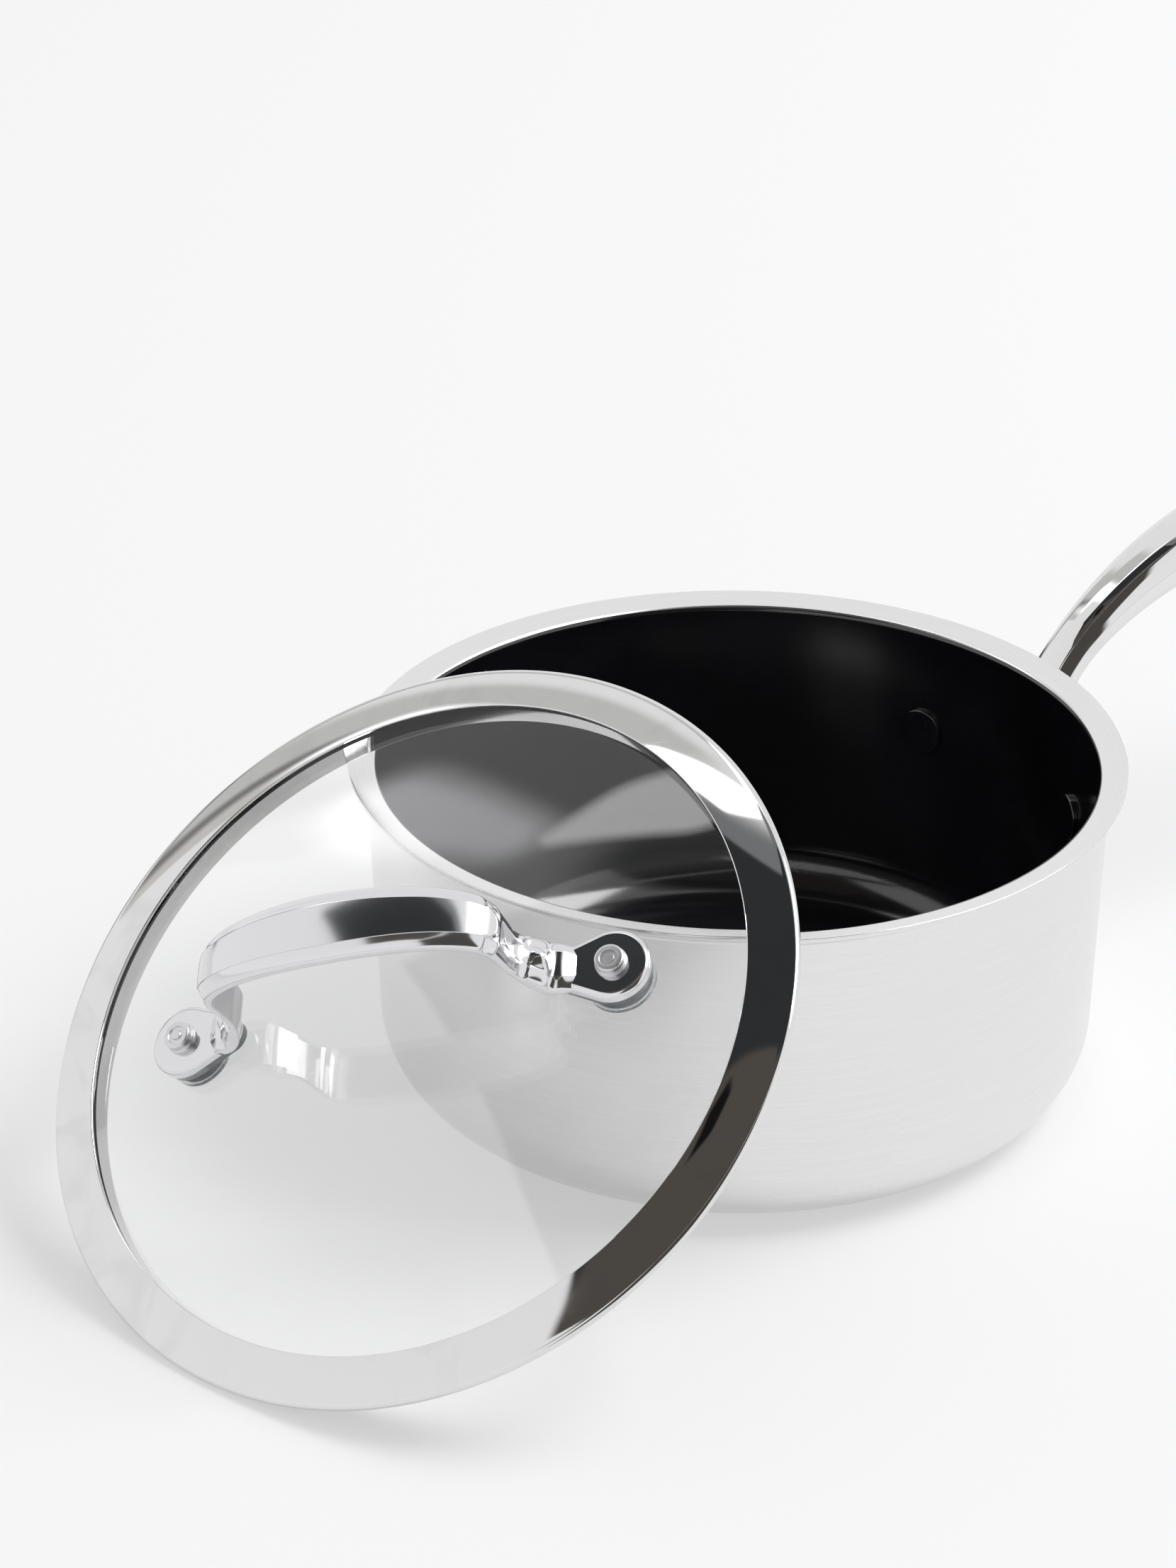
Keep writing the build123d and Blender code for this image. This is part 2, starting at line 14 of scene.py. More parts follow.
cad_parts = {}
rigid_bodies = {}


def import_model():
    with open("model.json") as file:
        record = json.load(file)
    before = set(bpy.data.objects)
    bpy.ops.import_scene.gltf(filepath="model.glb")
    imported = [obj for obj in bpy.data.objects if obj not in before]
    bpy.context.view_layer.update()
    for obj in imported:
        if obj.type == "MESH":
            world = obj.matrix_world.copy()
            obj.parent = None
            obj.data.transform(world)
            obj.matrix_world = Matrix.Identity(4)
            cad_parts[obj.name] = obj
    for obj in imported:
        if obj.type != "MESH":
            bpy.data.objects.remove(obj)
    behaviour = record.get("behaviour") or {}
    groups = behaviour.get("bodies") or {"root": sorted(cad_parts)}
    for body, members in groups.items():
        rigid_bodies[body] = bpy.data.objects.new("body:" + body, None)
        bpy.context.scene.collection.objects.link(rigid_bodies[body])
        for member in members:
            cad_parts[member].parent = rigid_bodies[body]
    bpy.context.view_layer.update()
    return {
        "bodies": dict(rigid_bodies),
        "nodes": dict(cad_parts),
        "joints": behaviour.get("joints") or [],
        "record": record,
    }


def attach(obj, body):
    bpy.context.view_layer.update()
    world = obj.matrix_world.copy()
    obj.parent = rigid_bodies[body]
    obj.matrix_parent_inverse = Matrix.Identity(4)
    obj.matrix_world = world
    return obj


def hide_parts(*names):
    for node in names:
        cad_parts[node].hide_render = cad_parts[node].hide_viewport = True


log = logging.getLogger("saucepan")

MM = 0.001
MERGE = 1e-6  # metres, points closer than this are one
SLIVER = 1e-7  # metres, edges shorter than this are taken out
CORNER_SHARE = 0.42  # most of a side that the curve at one corner may take
NODE_GAP = 190
Pair = tuple[float, float]
Triple = tuple[float, float, float]
FRAME: dict = {}


class Body(str, Enum):
    """Bodies of the model that the pieces ride on."""

    PAN = "pan"
    LID = "lid"


# ---------------------------------------------------------------- curves and outlines
def heading(climb: float) -> np.ndarray:
    """Return the 2-D direction that climbs at an angle.

    Args:
        climb: Angle above level, in degrees.

    Returns:
        A unit pair.
    """
    return np.array([cos(radians(climb)), sin(radians(climb))])


def arc(centre: Pair, radius: float, start: float, stop: float, count: int = 9) -> np.ndarray:
    """Return points round an arc: the centre plus the radius times (cosine, sine) of each angle.

    Args:
        centre: Centre of the arc.
        radius: Its radius.
        start: First angle, in degrees.
        stop: Last angle, in degrees.
        count: Number of points.

    Returns:
        An array of pairs.
    """
    angle = np.radians(np.linspace(start, stop, count))
    return np.asarray(centre) + radius * np.column_stack([np.cos(angle), np.sin(angle)])


def bezier(control: list[Pair], count: int = 240) -> np.ndarray:
    """Return points along a cubic Bezier curve.

    The four control points are weighted by (1-t)^3, 3t(1-t)^2, 3t^2(1-t) and t^3.

    Args:
        control: The four control points.
        count: Number of points.

    Returns:
        An array of pairs.
    """
    t = np.linspace(0, 1, count)[:, None]
    first, second, third, last = np.asarray(control, float)
    return ((1 - t) ** 3 * first + 3 * t * (1 - t) ** 2 * second
            + 3 * t ** 2 * (1 - t) * third + t ** 3 * last)


def through(knots: np.ndarray, values: np.ndarray, at: np.ndarray) -> np.ndarray:
    """Return a natural cubic spline through values at knots.

    The second derivatives at the knots solve the usual three-band system, and between two knots the
    value is the linear mix plus ((a^3-a) and (b^3-b)) times them, a and b being the two shares.

    Args:
        knots: Rising knot positions.
        values: One value for each knot.
        at: Positions to read.

    Returns:
        The spline's values.
    """
    gap = np.diff(knots)
    system = np.eye(len(knots))
    inner = np.arange(1, len(knots) - 1)
    system[inner, inner - 1], system[inner, inner + 1] = gap[:-1] / 6, gap[1:] / 6
    system[inner, inner] = (gap[:-1] + gap[1:]) / 3
    slope = np.diff(values) / gap
    bend = np.linalg.solve(system, np.r_[0, np.diff(slope), 0])
    i = np.clip(np.searchsorted(knots, at) - 1, 0, len(gap) - 1)
    b = (at - knots[i]) / gap[i]
    a = 1 - b
    return (a * values[i] + b * values[i + 1]
            + ((a ** 3 - a) * bend[i] + (b ** 3 - b) * bend[i + 1]) * gap[i] ** 2 / 6)


def soften(outline: np.ndarray, reach: float, steps: int = 4) -> np.ndarray:
    """Round every corner of closed outlines.

    Each corner becomes a quadratic curve from a point before it to a point after it, with the
    corner as its middle control point.

    Args:
        outline: Corners, of shape (..., corners, 2).
        reach: Distance from the corner to each end of its curve.
        steps: Points on each curve.

    Returns:
        Outlines of shape (..., corners * steps, 2).
    """
    back, ahead = (np.roll(outline, way, axis=-2) - outline for way in (1, -1))
    back_length = np.linalg.norm(back, axis=-1, keepdims=True)
    ahead_length = np.linalg.norm(ahead, axis=-1, keepdims=True)
    start = outline + back / back_length * np.minimum(reach, back_length * CORNER_SHARE)
    end = outline + ahead / ahead_length * np.minimum(reach, ahead_length * CORNER_SHARE)
    t = np.linspace(0, 1, steps)[:, None]
    curve = ((1 - t) ** 2 * start[..., None, :] + 2 * t * (1 - t) * outline[..., None, :]
             + t ** 2 * end[..., None, :])
    return curve.reshape(*outline.shape[:-2], -1, 2)


def teardrop(big: float, small: float, apart: float, count: int = 96) -> np.ndarray:
    """Return the outline round two circles, the big one at the origin and the small one beside it.

    The tangents leave both circles at the angle whose cosine is (big - small) / apart from the line
    between them, so each circle gives the arc on its own side of that angle.

    Args:
        big: Radius of the circle at the origin.
        small: Radius of the circle at (-apart, 0).
        apart: Distance between the centres.
        count: Number of points.

    Returns:
        An array of pairs, anticlockwise.
    """
    leave = 180 - np.degrees(np.arccos((big - small) / apart))
    half = count // 2
    return np.vstack([arc((0, 0), big, -leave, leave, count - half),
                      arc((-apart, 0), small, leave, 360 - leave, half)])


# ---------------------------------------------------------------- places and meshes
@dataclass(frozen=True)
class Place:
    """A local frame: an origin in millimetres and the rows x, y and z of its axes."""

    origin: np.ndarray
    axes: np.ndarray

    def points(self, local: np.ndarray) -> np.ndarray:
        """Return local points moved to the row frame."""
        return self.origin + local @ self.axes

    def moved(self, along: np.ndarray, axes: np.ndarray) -> "Place":
        """Return the place at a local point, with local axes."""
        return Place(self.points(along), axes @ self.axes)


WORLD = Place(np.zeros(3), np.eye(3))


def turned(outline: np.ndarray, place: Place = WORLD, segments: int = 256) -> np.ndarray:
    """Return the grid swept by an outline round a place's z axis.

    A pair (r, z) at the angle a gives the point (r cos a, r sin a, z).

    Args:
        outline: Pairs of radius and height.
        place: Frame of the axis.
        segments: Divisions round the axis.

    Returns:
        Points of shape (pairs, segments, 3).
    """
    angle = np.linspace(0, 2 * np.pi, segments, endpoint=False)
    radius, height = outline[:, :1], outline[:, 1:]
    local = np.stack([radius * np.cos(angle), radius * np.sin(angle),
                      np.broadcast_to(height, (len(outline), segments))], axis=-1)
    return place.points(local)


def swept(spine: np.ndarray, outlines: np.ndarray, place: Place = WORLD) -> np.ndarray:
    """Return the grid of outlines carried along a spine in a place's x-z plane, with closed ends.

    At a spine point p with tangent t, an outline pair (u, v) gives p + u y + v (t turned up by a
    quarter turn). The first and last rows are the middles of the end outlines.

    Args:
        spine: Pairs of x and z.
        outlines: Outlines of shape (spine points, corners, 2).
        place: Frame of the spine.

    Returns:
        Points of shape (spine points + 2, corners, 3).
    """
    tangent = np.gradient(spine, axis=0)
    tangent /= np.linalg.norm(tangent, axis=1, keepdims=True)
    across, up = outlines[..., 0], outlines[..., 1]
    local = np.stack([spine[:, :1] - tangent[:, 1:] * up, across,
                      spine[:, 1:] + tangent[:, :1] * up], axis=-1)
    ends = [np.broadcast_to(row.mean(axis=0), row.shape)[None] for row in (local[0], local[-1])]
    return place.points(np.concatenate([ends[0], local, ends[1]]))


def along(curve: np.ndarray, shares: np.ndarray) -> np.ndarray:
    """Return the points of a curve at shares of its length."""
    steps = np.r_[0, np.cumsum(np.linalg.norm(np.diff(curve, axis=0), axis=1))]
    return np.column_stack([np.interp(shares * steps[-1], steps, curve[:, axis]) for axis in (0, 1)])


@dataclass
class Shell:
    """A mesh object gathered from grids of points."""

    name: str
    points: list[np.ndarray] = field(default_factory=list)
    quads: list[np.ndarray] = field(default_factory=list)
    slots: list[np.ndarray] = field(default_factory=list)
    count: int = 0

    def grid(self, points: np.ndarray, ring: bool = False, slot: int = 0) -> "Shell":
        """Add a grid that closes round its columns.

        Args:
            points: Millimetres, of shape (rows, columns, 3).
            ring: Join the last row to the first as well.
            slot: Material slot of its faces.

        Returns:
            The shell itself.
        """
        rows, columns = points.shape[:2]
        index = np.arange(rows * columns).reshape(rows, columns) + self.count
        index = np.column_stack([index, index[:, :1]])
        if ring:
            index = np.vstack([index, index[:1]])
        quads = np.stack([index[:-1, :-1], index[:-1, 1:], index[1:, 1:], index[1:, :-1]], axis=-1)
        self.points.append(points.reshape(-1, 3) * MM)
        self.quads.append(quads.reshape(-1, 4))
        self.slots.append(np.full(len(self.quads[-1]), slot))
        self.count += rows * columns
        return self

    def build(self, crease: float = 40.0, cutters: tuple[bpy.types.Object, ...] = ()
              ) -> bpy.types.Object:
        """Make the object: poles merged, faces outward, smooth between creases.

        Args:
            crease: Angle past which an edge is sharp, in degrees.
            cutters: Objects to cut away, which are removed afterwards.

        Returns:
            The new object.
        """
        mesh = bpy.data.meshes.new(self.name)
        points, quads = np.vstack(self.points), np.vstack(self.quads)
        mesh.vertices.add(len(points))
        mesh.vertices.foreach_set("co", points.ravel())
        mesh.loops.add(quads.size)
        mesh.loops.foreach_set("vertex_index", quads.ravel())
        mesh.polygons.add(len(quads))
        mesh.polygons.foreach_set("loop_start", np.arange(len(quads)) * 4)
        mesh.polygons.foreach_set("material_index", np.concatenate(self.slots))
        mesh.update(calc_edges=True)
        work = bmesh.new()
        work.from_mesh(mesh)
        bmesh.ops.remove_doubles(work, verts=work.verts, dist=MERGE)
        bmesh.ops.dissolve_degenerate(work, edges=work.edges, dist=SLIVER)
        bmesh.ops.recalc_face_normals(work, faces=work.faces)
        work.to_mesh(mesh)
        work.free()
        piece = bpy.data.objects.new(self.name, mesh)
        bpy.context.scene.collection.objects.link(piece)
        if cutters:
            cut_away(piece, cutters)
        mesh = piece.data
        mesh.polygons.foreach_set("use_smooth", np.ones(len(mesh.polygons), bool))
        mesh.set_sharp_from_angle(angle=radians(crease))
        weigh = piece.modifiers.new("weighted_normals", "WEIGHTED_NORMAL")
        weigh.keep_sharp = True
        log.info("%s: %d faces", self.name, len(mesh.polygons))
        return piece


def cut_away(piece: bpy.types.Object, cutters: tuple[bpy.types.Object, ...]) -> None:
    """Cut objects away from a piece, apply the cuts and remove the objects.

    Args:
        piece: Object to cut.
        cutters: Closed objects.
    """
    for cutter in cutters:
        cut = piece.modifiers.new(cutter.name, "BOOLEAN")
        cut.operation, cut.solver, cut.object = "DIFFERENCE", "EXACT", cutter
    graph = bpy.context.evaluated_depsgraph_get()
    old, piece.data = piece.data, bpy.data.meshes.new_from_object(piece.evaluated_get(graph))
    piece.modifiers.clear()
    bpy.data.meshes.remove(old)
    piece.data.name = piece.name
    for cutter in cutters:
        bpy.data.objects.remove(cutter)


def drill(name: str, place: Place, radius: float, low: float, high: float,
          flare: float = 0.0) -> bpy.types.Object:
    """Return a round cutter along a place's z axis, whose ends flare out to break the hole's edges.

    The flares are cones at 45 degrees that run past the faces.

    Args:
        name: Name of the cutter.
        place: Frame of the hole.
        radius: Radius of the hole.
        low: Level where the hole meets its lower face.
        high: Level where it meets its upper face.
        flare: Width of the broken edge.

    Returns:
        The cutter.
    """
    outline = [(0, low), (radius, low), (radius, high), (0, high)]
    if flare:
        past = flare * 3
        wide = radius + flare + past
        outline = [(0, low - past), (wide, low - past), (radius, low + flare),
                   (radius, high - flare), (wide, high + past), (0, high + past)]
    return Shell(name).grid(turned(np.array(outline), place, segments=64)).build()


# ---------------------------------------------------------------- sizes shared with the solid model
@dataclass(frozen=True)
class PanSizes:
    """Section of the pan, in millimetres and degrees."""

    height: float = 76.3
    rim: float = 85.0
    overhang: float = 3.7
    corner: float = 16.4
    draft: float = 2.0
    outer_bend: float = 1.5
    inner_bend: float = 1.6
    top_slope: float = 13.0
    under_slope: float = 30.0
    rim_round: float = 0.25
    outer_skin: float = 0.5
    core: float = 1.6
    core_edge: float = 0.1
    inner_skin: float = 0.4
    coating: float = 0.1
    coating_stop: float = 42.0
    coating_round: float = 0.06

    @property
    def wall(self) -> float:
        """Thickness of the wall."""
        return self.outer_skin + self.core + self.inner_skin

    @property
    def normal(self) -> np.ndarray:
        """Outward direction of the wall."""
        return heading(-self.draft)

    def reach(self, height: float) -> float:
        """Return the outer radius of the wall at a height."""
        return self.rim - self.overhang - (self.height - height) * tan(radians(self.draft))

    @property
    def foot(self) -> np.ndarray:
        """Foot of the straight wall."""
        level = self.corner * (1 - sin(radians(self.draft)))
        return np.array([self.reach(level), level])

    @property
    def edge_height(self) -> float:
        """Height of the rim's edge."""
        return (self.inner_skin / cos(radians(self.top_slope)) + self.core_edge
                + self.outer_skin / cos(radians(self.under_slope)))

    def bend(self, depth: float, radius: float, slope: float, edge: float) -> np.ndarray:
        """Return the centre of the bend from the wall to a line that climbs to the rim.

        It lies at the radius from both lines, so it is where their parallels cross.

        Args:
            depth: Depth of the wall's line under the outside.
            radius: Radius of the bend.
            slope: Climb of the rim's line, in degrees.
            edge: Height of the rim's line at the rim's edge.

        Returns:
            The centre's radius and height.
        """
        climb, draft = tan(radians(slope)), radians(self.draft)
        out = self.reach(0) + (radius - depth) / cos(draft)
        level = edge - self.rim * climb - radius / cos(radians(slope))
        level = (level + out * climb) / (1 - tan(draft) * climb)
        return np.array([out + level * tan(draft), level])

    def face(self, depth: float, outside: bool, stop: float | None = None) -> np.ndarray:
        """Return a face of the wall from the axis to the rim's edge.

        Args:
            depth: Depth under the outside, or under the inside.
            outside: Which of the two the depth is counted from.
            stop: Angle on the bend where the face ends, if it stops short of the rim.

        Returns:
            Pairs of radius and height.
        """
        if outside:
            centre = self.bend(0, self.outer_bend, self.under_slope, self.height - self.edge_height)
            radius, slope = self.outer_bend + depth, self.under_slope
        else:
            centre = self.bend(self.wall, self.inner_bend, self.top_slope, self.height)
            radius, slope = self.inner_bend - depth, self.top_slope
            depth = self.wall - depth
        middle = self.foot - self.normal * self.corner
        start = 180 - self.draft
        last = 90 + slope if stop is None else start - stop
        parts = [np.column_stack([np.linspace(0, middle[0], 9), np.full(9, depth)]),
                 arc(middle, self.corner - depth, -90, -self.draft, 25)[1:],
                 arc(centre, radius, start, last, 9)]
        if stop is None:
            end = parts[-1][-1]
            parts.append((end + heading(slope) * (self.rim - end[0]) / cos(radians(slope)))[None])
        return np.vstack(parts)


@dataclass(frozen=True)
class LidSizes:
    """Section of the lid and where it leans, in millimetres and degrees."""

    overhang: float = 0.4
    bead: float = 1.2
    bead_stop: float = 78.0
    sheet: float = 0.6
    skirt_clearance: float = 3.2
    skirt_depth: float = 4.7
    lap: float = 5.5
    edge_gap: float = 0.1
    lip: float = 0.28
    lip_stop: float = 98.0
    band_bulge: float = 0.14
    ground_edge: float = 0.5
    glass: float = 4.0
    dome: float = 355.0
    crown: float = 11.3
    lean: float = 38.3
    azimuth: float = 193.45
    skew: float = 1.1
    turn: float = 31.9
    clearance: float = 0.15

    def level(self, radius: float, reach: float | np.ndarray, crown: float) -> float | np.ndarray:
        """Return the height of a dome: crown - radius + the root of radius^2 - reach^2."""
        return crown - radius + np.sqrt(radius ** 2 - np.asarray(reach) ** 2)

    def outer(self, reach: float | np.ndarray) -> float | np.ndarray:
        """Return the height of the glass's outer face."""
        return self.level(self.dome, reach, self.crown)

    def inner(self, reach: float | np.ndarray) -> float | np.ndarray:
        """Return the height of the glass's inner face."""
        return self.level(self.dome - self.glass, reach, self.crown - self.glass)

    def place(self, pan: PanSizes) -> Place:
        """Return the frame of the lid, whose bead is on the floor and whose glass rests on the rim.

        The bead gives the height of the frame. The glass's inner ball, less the clearance, then
        passes through the rim's circle at its nearest point, and a triangle in plan gives the
        distance from the pan's axis.

        Args:
            pan: Sizes of the pan that it leans on.

        Returns:
            The frame, with z along the lid's axis and x along its handle.
        """
        lean, bank, skew, turn = map(radians, (self.lean, self.azimuth, self.skew, self.turn))
        reach = pan.rim + self.overhang - self.bead
        bead = self.level(self.dome + self.sheet, reach, self.crown + self.sheet) - self.bead
        level = reach * sin(lean) - bead * cos(lean) + self.bead
        ball = self.crown - self.dome
        drop = pan.height - level - ball * cos(lean)
        near = sqrt((self.dome - self.glass - self.clearance) ** 2 - drop ** 2) - pan.rim
        back = -ball * sin(lean)
        out = back * cos(skew) - sqrt(near ** 2 - (back * sin(skew)) ** 2)
        normal = np.array([sin(lean) * cos(bank), sin(lean) * sin(bank), cos(lean)])
        flat = np.array([-sin(bank), cos(bank), 0.0])
        side = flat * cos(turn) + np.cross(normal, flat) * sin(turn)
        origin = np.array([out * cos(bank + skew), out * sin(bank + skew), level])
        return Place(origin, np.array([side, np.cross(normal, side), normal]))


@dataclass(frozen=True)
class StudSizes:
    """Fixings that hold the bridge handle, in millimetres."""

    reach: float = 48.5
    washer: float = 2.0
    margin: float = -1.3
    pad: float = 8.8
    pad_thickness: float = 2.4
    pad_fillet: float = 1.25
    pad_trim: float = 0.9
    neck: float = 4.9
    inset: float = 9.9
    post: float = 3.1
    post_height: float = 2.3
    post_round: float = 0.4
    collar: float = 0.35
    collar_height: float = 0.7
    collar_fillet: float = 0.25
    ring: tuple[Pair, ...] = ((2.05, 0.0), (1.9, -0.28), (1.15, -0.3), (1.0, -0.02))
    hole_collar: float = 0.9
    seal_thickness: float = 1.0
    gasket_low: float = 0.05
    gasket_fillet: float = 0.2


@dataclass(frozen=True)
class RivetSizes:
    """Rivets through the handle's plate and the wall, in millimetres."""

    drop: float = 26.3
    spread: float = 20.0
    plate: float = 3.2
    spot: float = 0.4
    shank: float = 2.6
    inner_head: float = 5.4
    inner_height: float = 1.2
    inner_chamfer: float = 0.4
    sink: float = 0.25
    outer_head: float = 5.0
    outer_height: float = 1.8
    outer_fillet: float = 1.25


# ---------------------------------------------------------------- shaders
@dataclass
class Nodes:
    """Short ways to add and join nodes in a tree."""

    tree: bpy.types.NodeTree
    across: int = 0

    def add(self, kind: str, inputs: dict | None = None, **settings: object) -> bpy.types.Node:
        """Add a shader node.

        Args:
            kind: Type of the node, without its ShaderNode prefix.
            inputs: A value or a socket for each input, by name or number.
            settings: Properties of the node.

        Returns:
            The node.
        """
        node = self.tree.nodes.new(f"ShaderNode{kind}")
        node.location = (self.across, 0)
        self.across += NODE_GAP
        for key, value in settings.items():
            setattr(node, key, value)
        for key, value in (inputs or {}).items():
            if isinstance(value, bpy.types.NodeSocket):
                self.tree.links.new(value, node.inputs[key])
            else:
                node.inputs[key].default_value = value
        return node

    def math(self, operation: str, *values: object) -> bpy.types.NodeSocket:
        """Return the result of a number operation."""
        return self.add("Math", dict(enumerate(values)), operation=operation).outputs[0]

    def vector(self, operation: str, *values: object) -> bpy.types.NodeSocket:
        """Return the result of a vector operation, which is a number for lengths and dot products."""
        node = self.add("VectorMath", dict(enumerate(values)), operation=operation)
        return node.outputs["Value" if operation in ("LENGTH", "DOT_PRODUCT") else "Vector"]

    def ramp(self, value: object, low: float, high: float, start: float = 0.0, stop: float = 1.0
             ) -> bpy.types.NodeSocket:
        """Return a value mapped smoothly from one range to another."""
        node = self.add("MapRange", {0: value, 1: low, 2: high, 3: start, 4: stop},
                        interpolation_type="SMOOTHSTEP")
        return node.outputs[0]

    def mix(self, share: object, first: object, second: object) -> bpy.types.NodeSocket:
        """Return a colour between two."""
        node = self.add("Mix", {0: share, 6: first, 7: second}, data_type="RGBA")
        return node.outputs[2]

    def noise(self, vector: object, scale: float, detail: float = 3.0, distortion: float = 0.0
              ) -> bpy.types.NodeSocket:
        """Return a noise value."""
        node = self.add("TexNoise", {"Vector": vector, "Scale": scale, "Detail": detail,
                                     "Distortion": distortion})
        return node.outputs[0]

    def bump(self, strength: object, distance: float, height: bpy.types.NodeSocket
             ) -> bpy.types.NodeSocket:
        """Return the normal that a height gives."""
        return self.add("Bump", {"Strength": strength, "Distance": distance,
                                 "Height": height}).outputs[0]


class Group(Nodes):
    """A shader group under construction."""

    def __init__(self, name: str, inputs: dict[str, tuple], outputs: dict[str, str]) -> None:
        """Make an empty group.

        Args:
            name: Name of the group.
            inputs: Socket type and default value of each input.
            outputs: Socket type of each output.
        """
        super().__init__(bpy.data.node_groups.new(name, "ShaderNodeTree"))
        sockets = self.tree.interface
        for title, (kind, default) in inputs.items():
            socket = sockets.new_socket(title, in_out="INPUT", socket_type=f"NodeSocket{kind}")
            if default is not None:
                socket.default_value = default
        for title, kind in outputs.items():
            sockets.new_socket(title, in_out="OUTPUT", socket_type=f"NodeSocket{kind}")
        self.given = self.tree.nodes.new("NodeGroupInput").outputs
        self.asked = self.tree.nodes.new("NodeGroupOutput").inputs

    def close(self, values: dict[str, bpy.types.NodeSocket]) -> bpy.types.NodeTree:
        """Join the outputs and return the finished tree."""
        for title, value in values.items():
            self.tree.links.new(value, self.asked[title])
        return self.tree


def brush_group() -> bpy.types.NodeTree:
    """Return the group for fine lines brushed round an axis.

    Noise is read at the unit direction from the axis, which varies slowly, with the height and the
    radius scaled up, which vary fast, so its cells are drawn out into rings.

    Returns:
        The group's tree.
    """
    nodes = Group("brushed_rings",
                  {"Vector": ("Vector", None), "Fineness": ("Float", 2500.0),
                   "Arc": ("Float", 5.0), "Depth": ("Float", 0.2)},
                  {"Lines": "Float", "Cloud": "Float", "Normal": "Vector"})
    vector = nodes.given["Vector"]
    parts = nodes.add("SeparateXYZ", {0: vector})
    flat = nodes.add("CombineXYZ", {0: parts.outputs[0], 1: parts.outputs[1], 2: 0.0}).outputs[0]
    radius = nodes.vector("LENGTH", flat)
    way = nodes.vector("NORMALIZE", flat)
    rise = nodes.math("ADD", parts.outputs[2], radius)
    fine = nodes.math("MULTIPLY", rise, nodes.given["Fineness"])
    around = nodes.add("VectorMath", {0: way, "Scale": nodes.given["Arc"]}, operation="SCALE")
    place = nodes.vector("ADD", around.outputs[0],
                         nodes.add("CombineXYZ", {0: fine, 1: fine, 2: fine}).outputs[0])
    lines = nodes.noise(place, scale=1.0, detail=4.0)
    cloud = nodes.noise(vector, scale=28.0, distortion=0.4)
    return nodes.close({"Lines": lines, "Cloud": cloud,
                        "Normal": nodes.bump(nodes.given["Depth"], 0.00002, lines)})


def handling_group() -> bpy.types.NodeTree:
    """Return the group for smudges, hairline scratches and the soft waves left by polishing.

    Smudges and scratches are the tops of two noises, the second one stretched along a slanted
    axis, and the waves are the bump of a third, coarse one.

    Returns:
        The group's tree.
    """
    nodes = Group("handling", {"Vector": ("Vector", None), "Wave": ("Float", 0.1)},
                  {"Smudges": "Float", "Scratches": "Float", "Normal": "Vector"})
    vector = nodes.given["Vector"]
    smudges = nodes.ramp(nodes.noise(vector, scale=55.0, detail=5.0, distortion=1.2), 0.5, 0.72)
    warp = nodes.add("Mapping", {"Vector": vector, "Rotation": (0.5, 0.9, 0.3),
                                 "Scale": (60.0, 1600.0, 700.0)}).outputs[0]
    scratches = nodes.ramp(nodes.noise(warp, scale=1.0, detail=2.0, distortion=0.2), 0.68, 0.8)
    waves = nodes.noise(vector, scale=38.0, detail=1.0)
    return nodes.close({"Smudges": smudges, "Scratches": scratches,
                        "Normal": nodes.bump(nodes.given["Wave"], 0.0006, waves)})


@dataclass(frozen=True)
class Finish:
    """What sets one material apart from others of its kind."""

    color: Triple
    roughness: float
    spread: float = 0.05
    fineness: float = 2500.0
    depth: float = 0.2
    anisotropic: float = 0.0
    wave: float = 0.05

    def shade(self, share: float) -> tuple[float, ...]:
        """Return a share of the colour, with full alpha."""
        return tuple(share * channel for channel in self.color) + (1.0,)


def start_material(name: str, local: Place | None = None
                   ) -> tuple[bpy.types.Material, Nodes, bpy.types.NodeSocket]:
    """Start a material.

    Args:
        name: Name of the material.
        local: Frame that its pattern follows, if it isn't the row frame.

    Returns:
        The material, its nodes helper and the pattern's coordinates.
    """
    material = bpy.data.materials.new(name)
    material.use_nodes = True
    material.node_tree.nodes.clear()
    nodes = Nodes(material.node_tree)
    vector = nodes.add("TexCoord").outputs["Object"]
    if local is not None:
        turn = Matrix(local.axes.T.tolist()).to_euler()
        vector = nodes.add("Mapping", {"Vector": vector, "Location": local.origin * MM,
                                       "Rotation": turn}, vector_type="TEXTURE").outputs[0]
    return material, nodes, vector


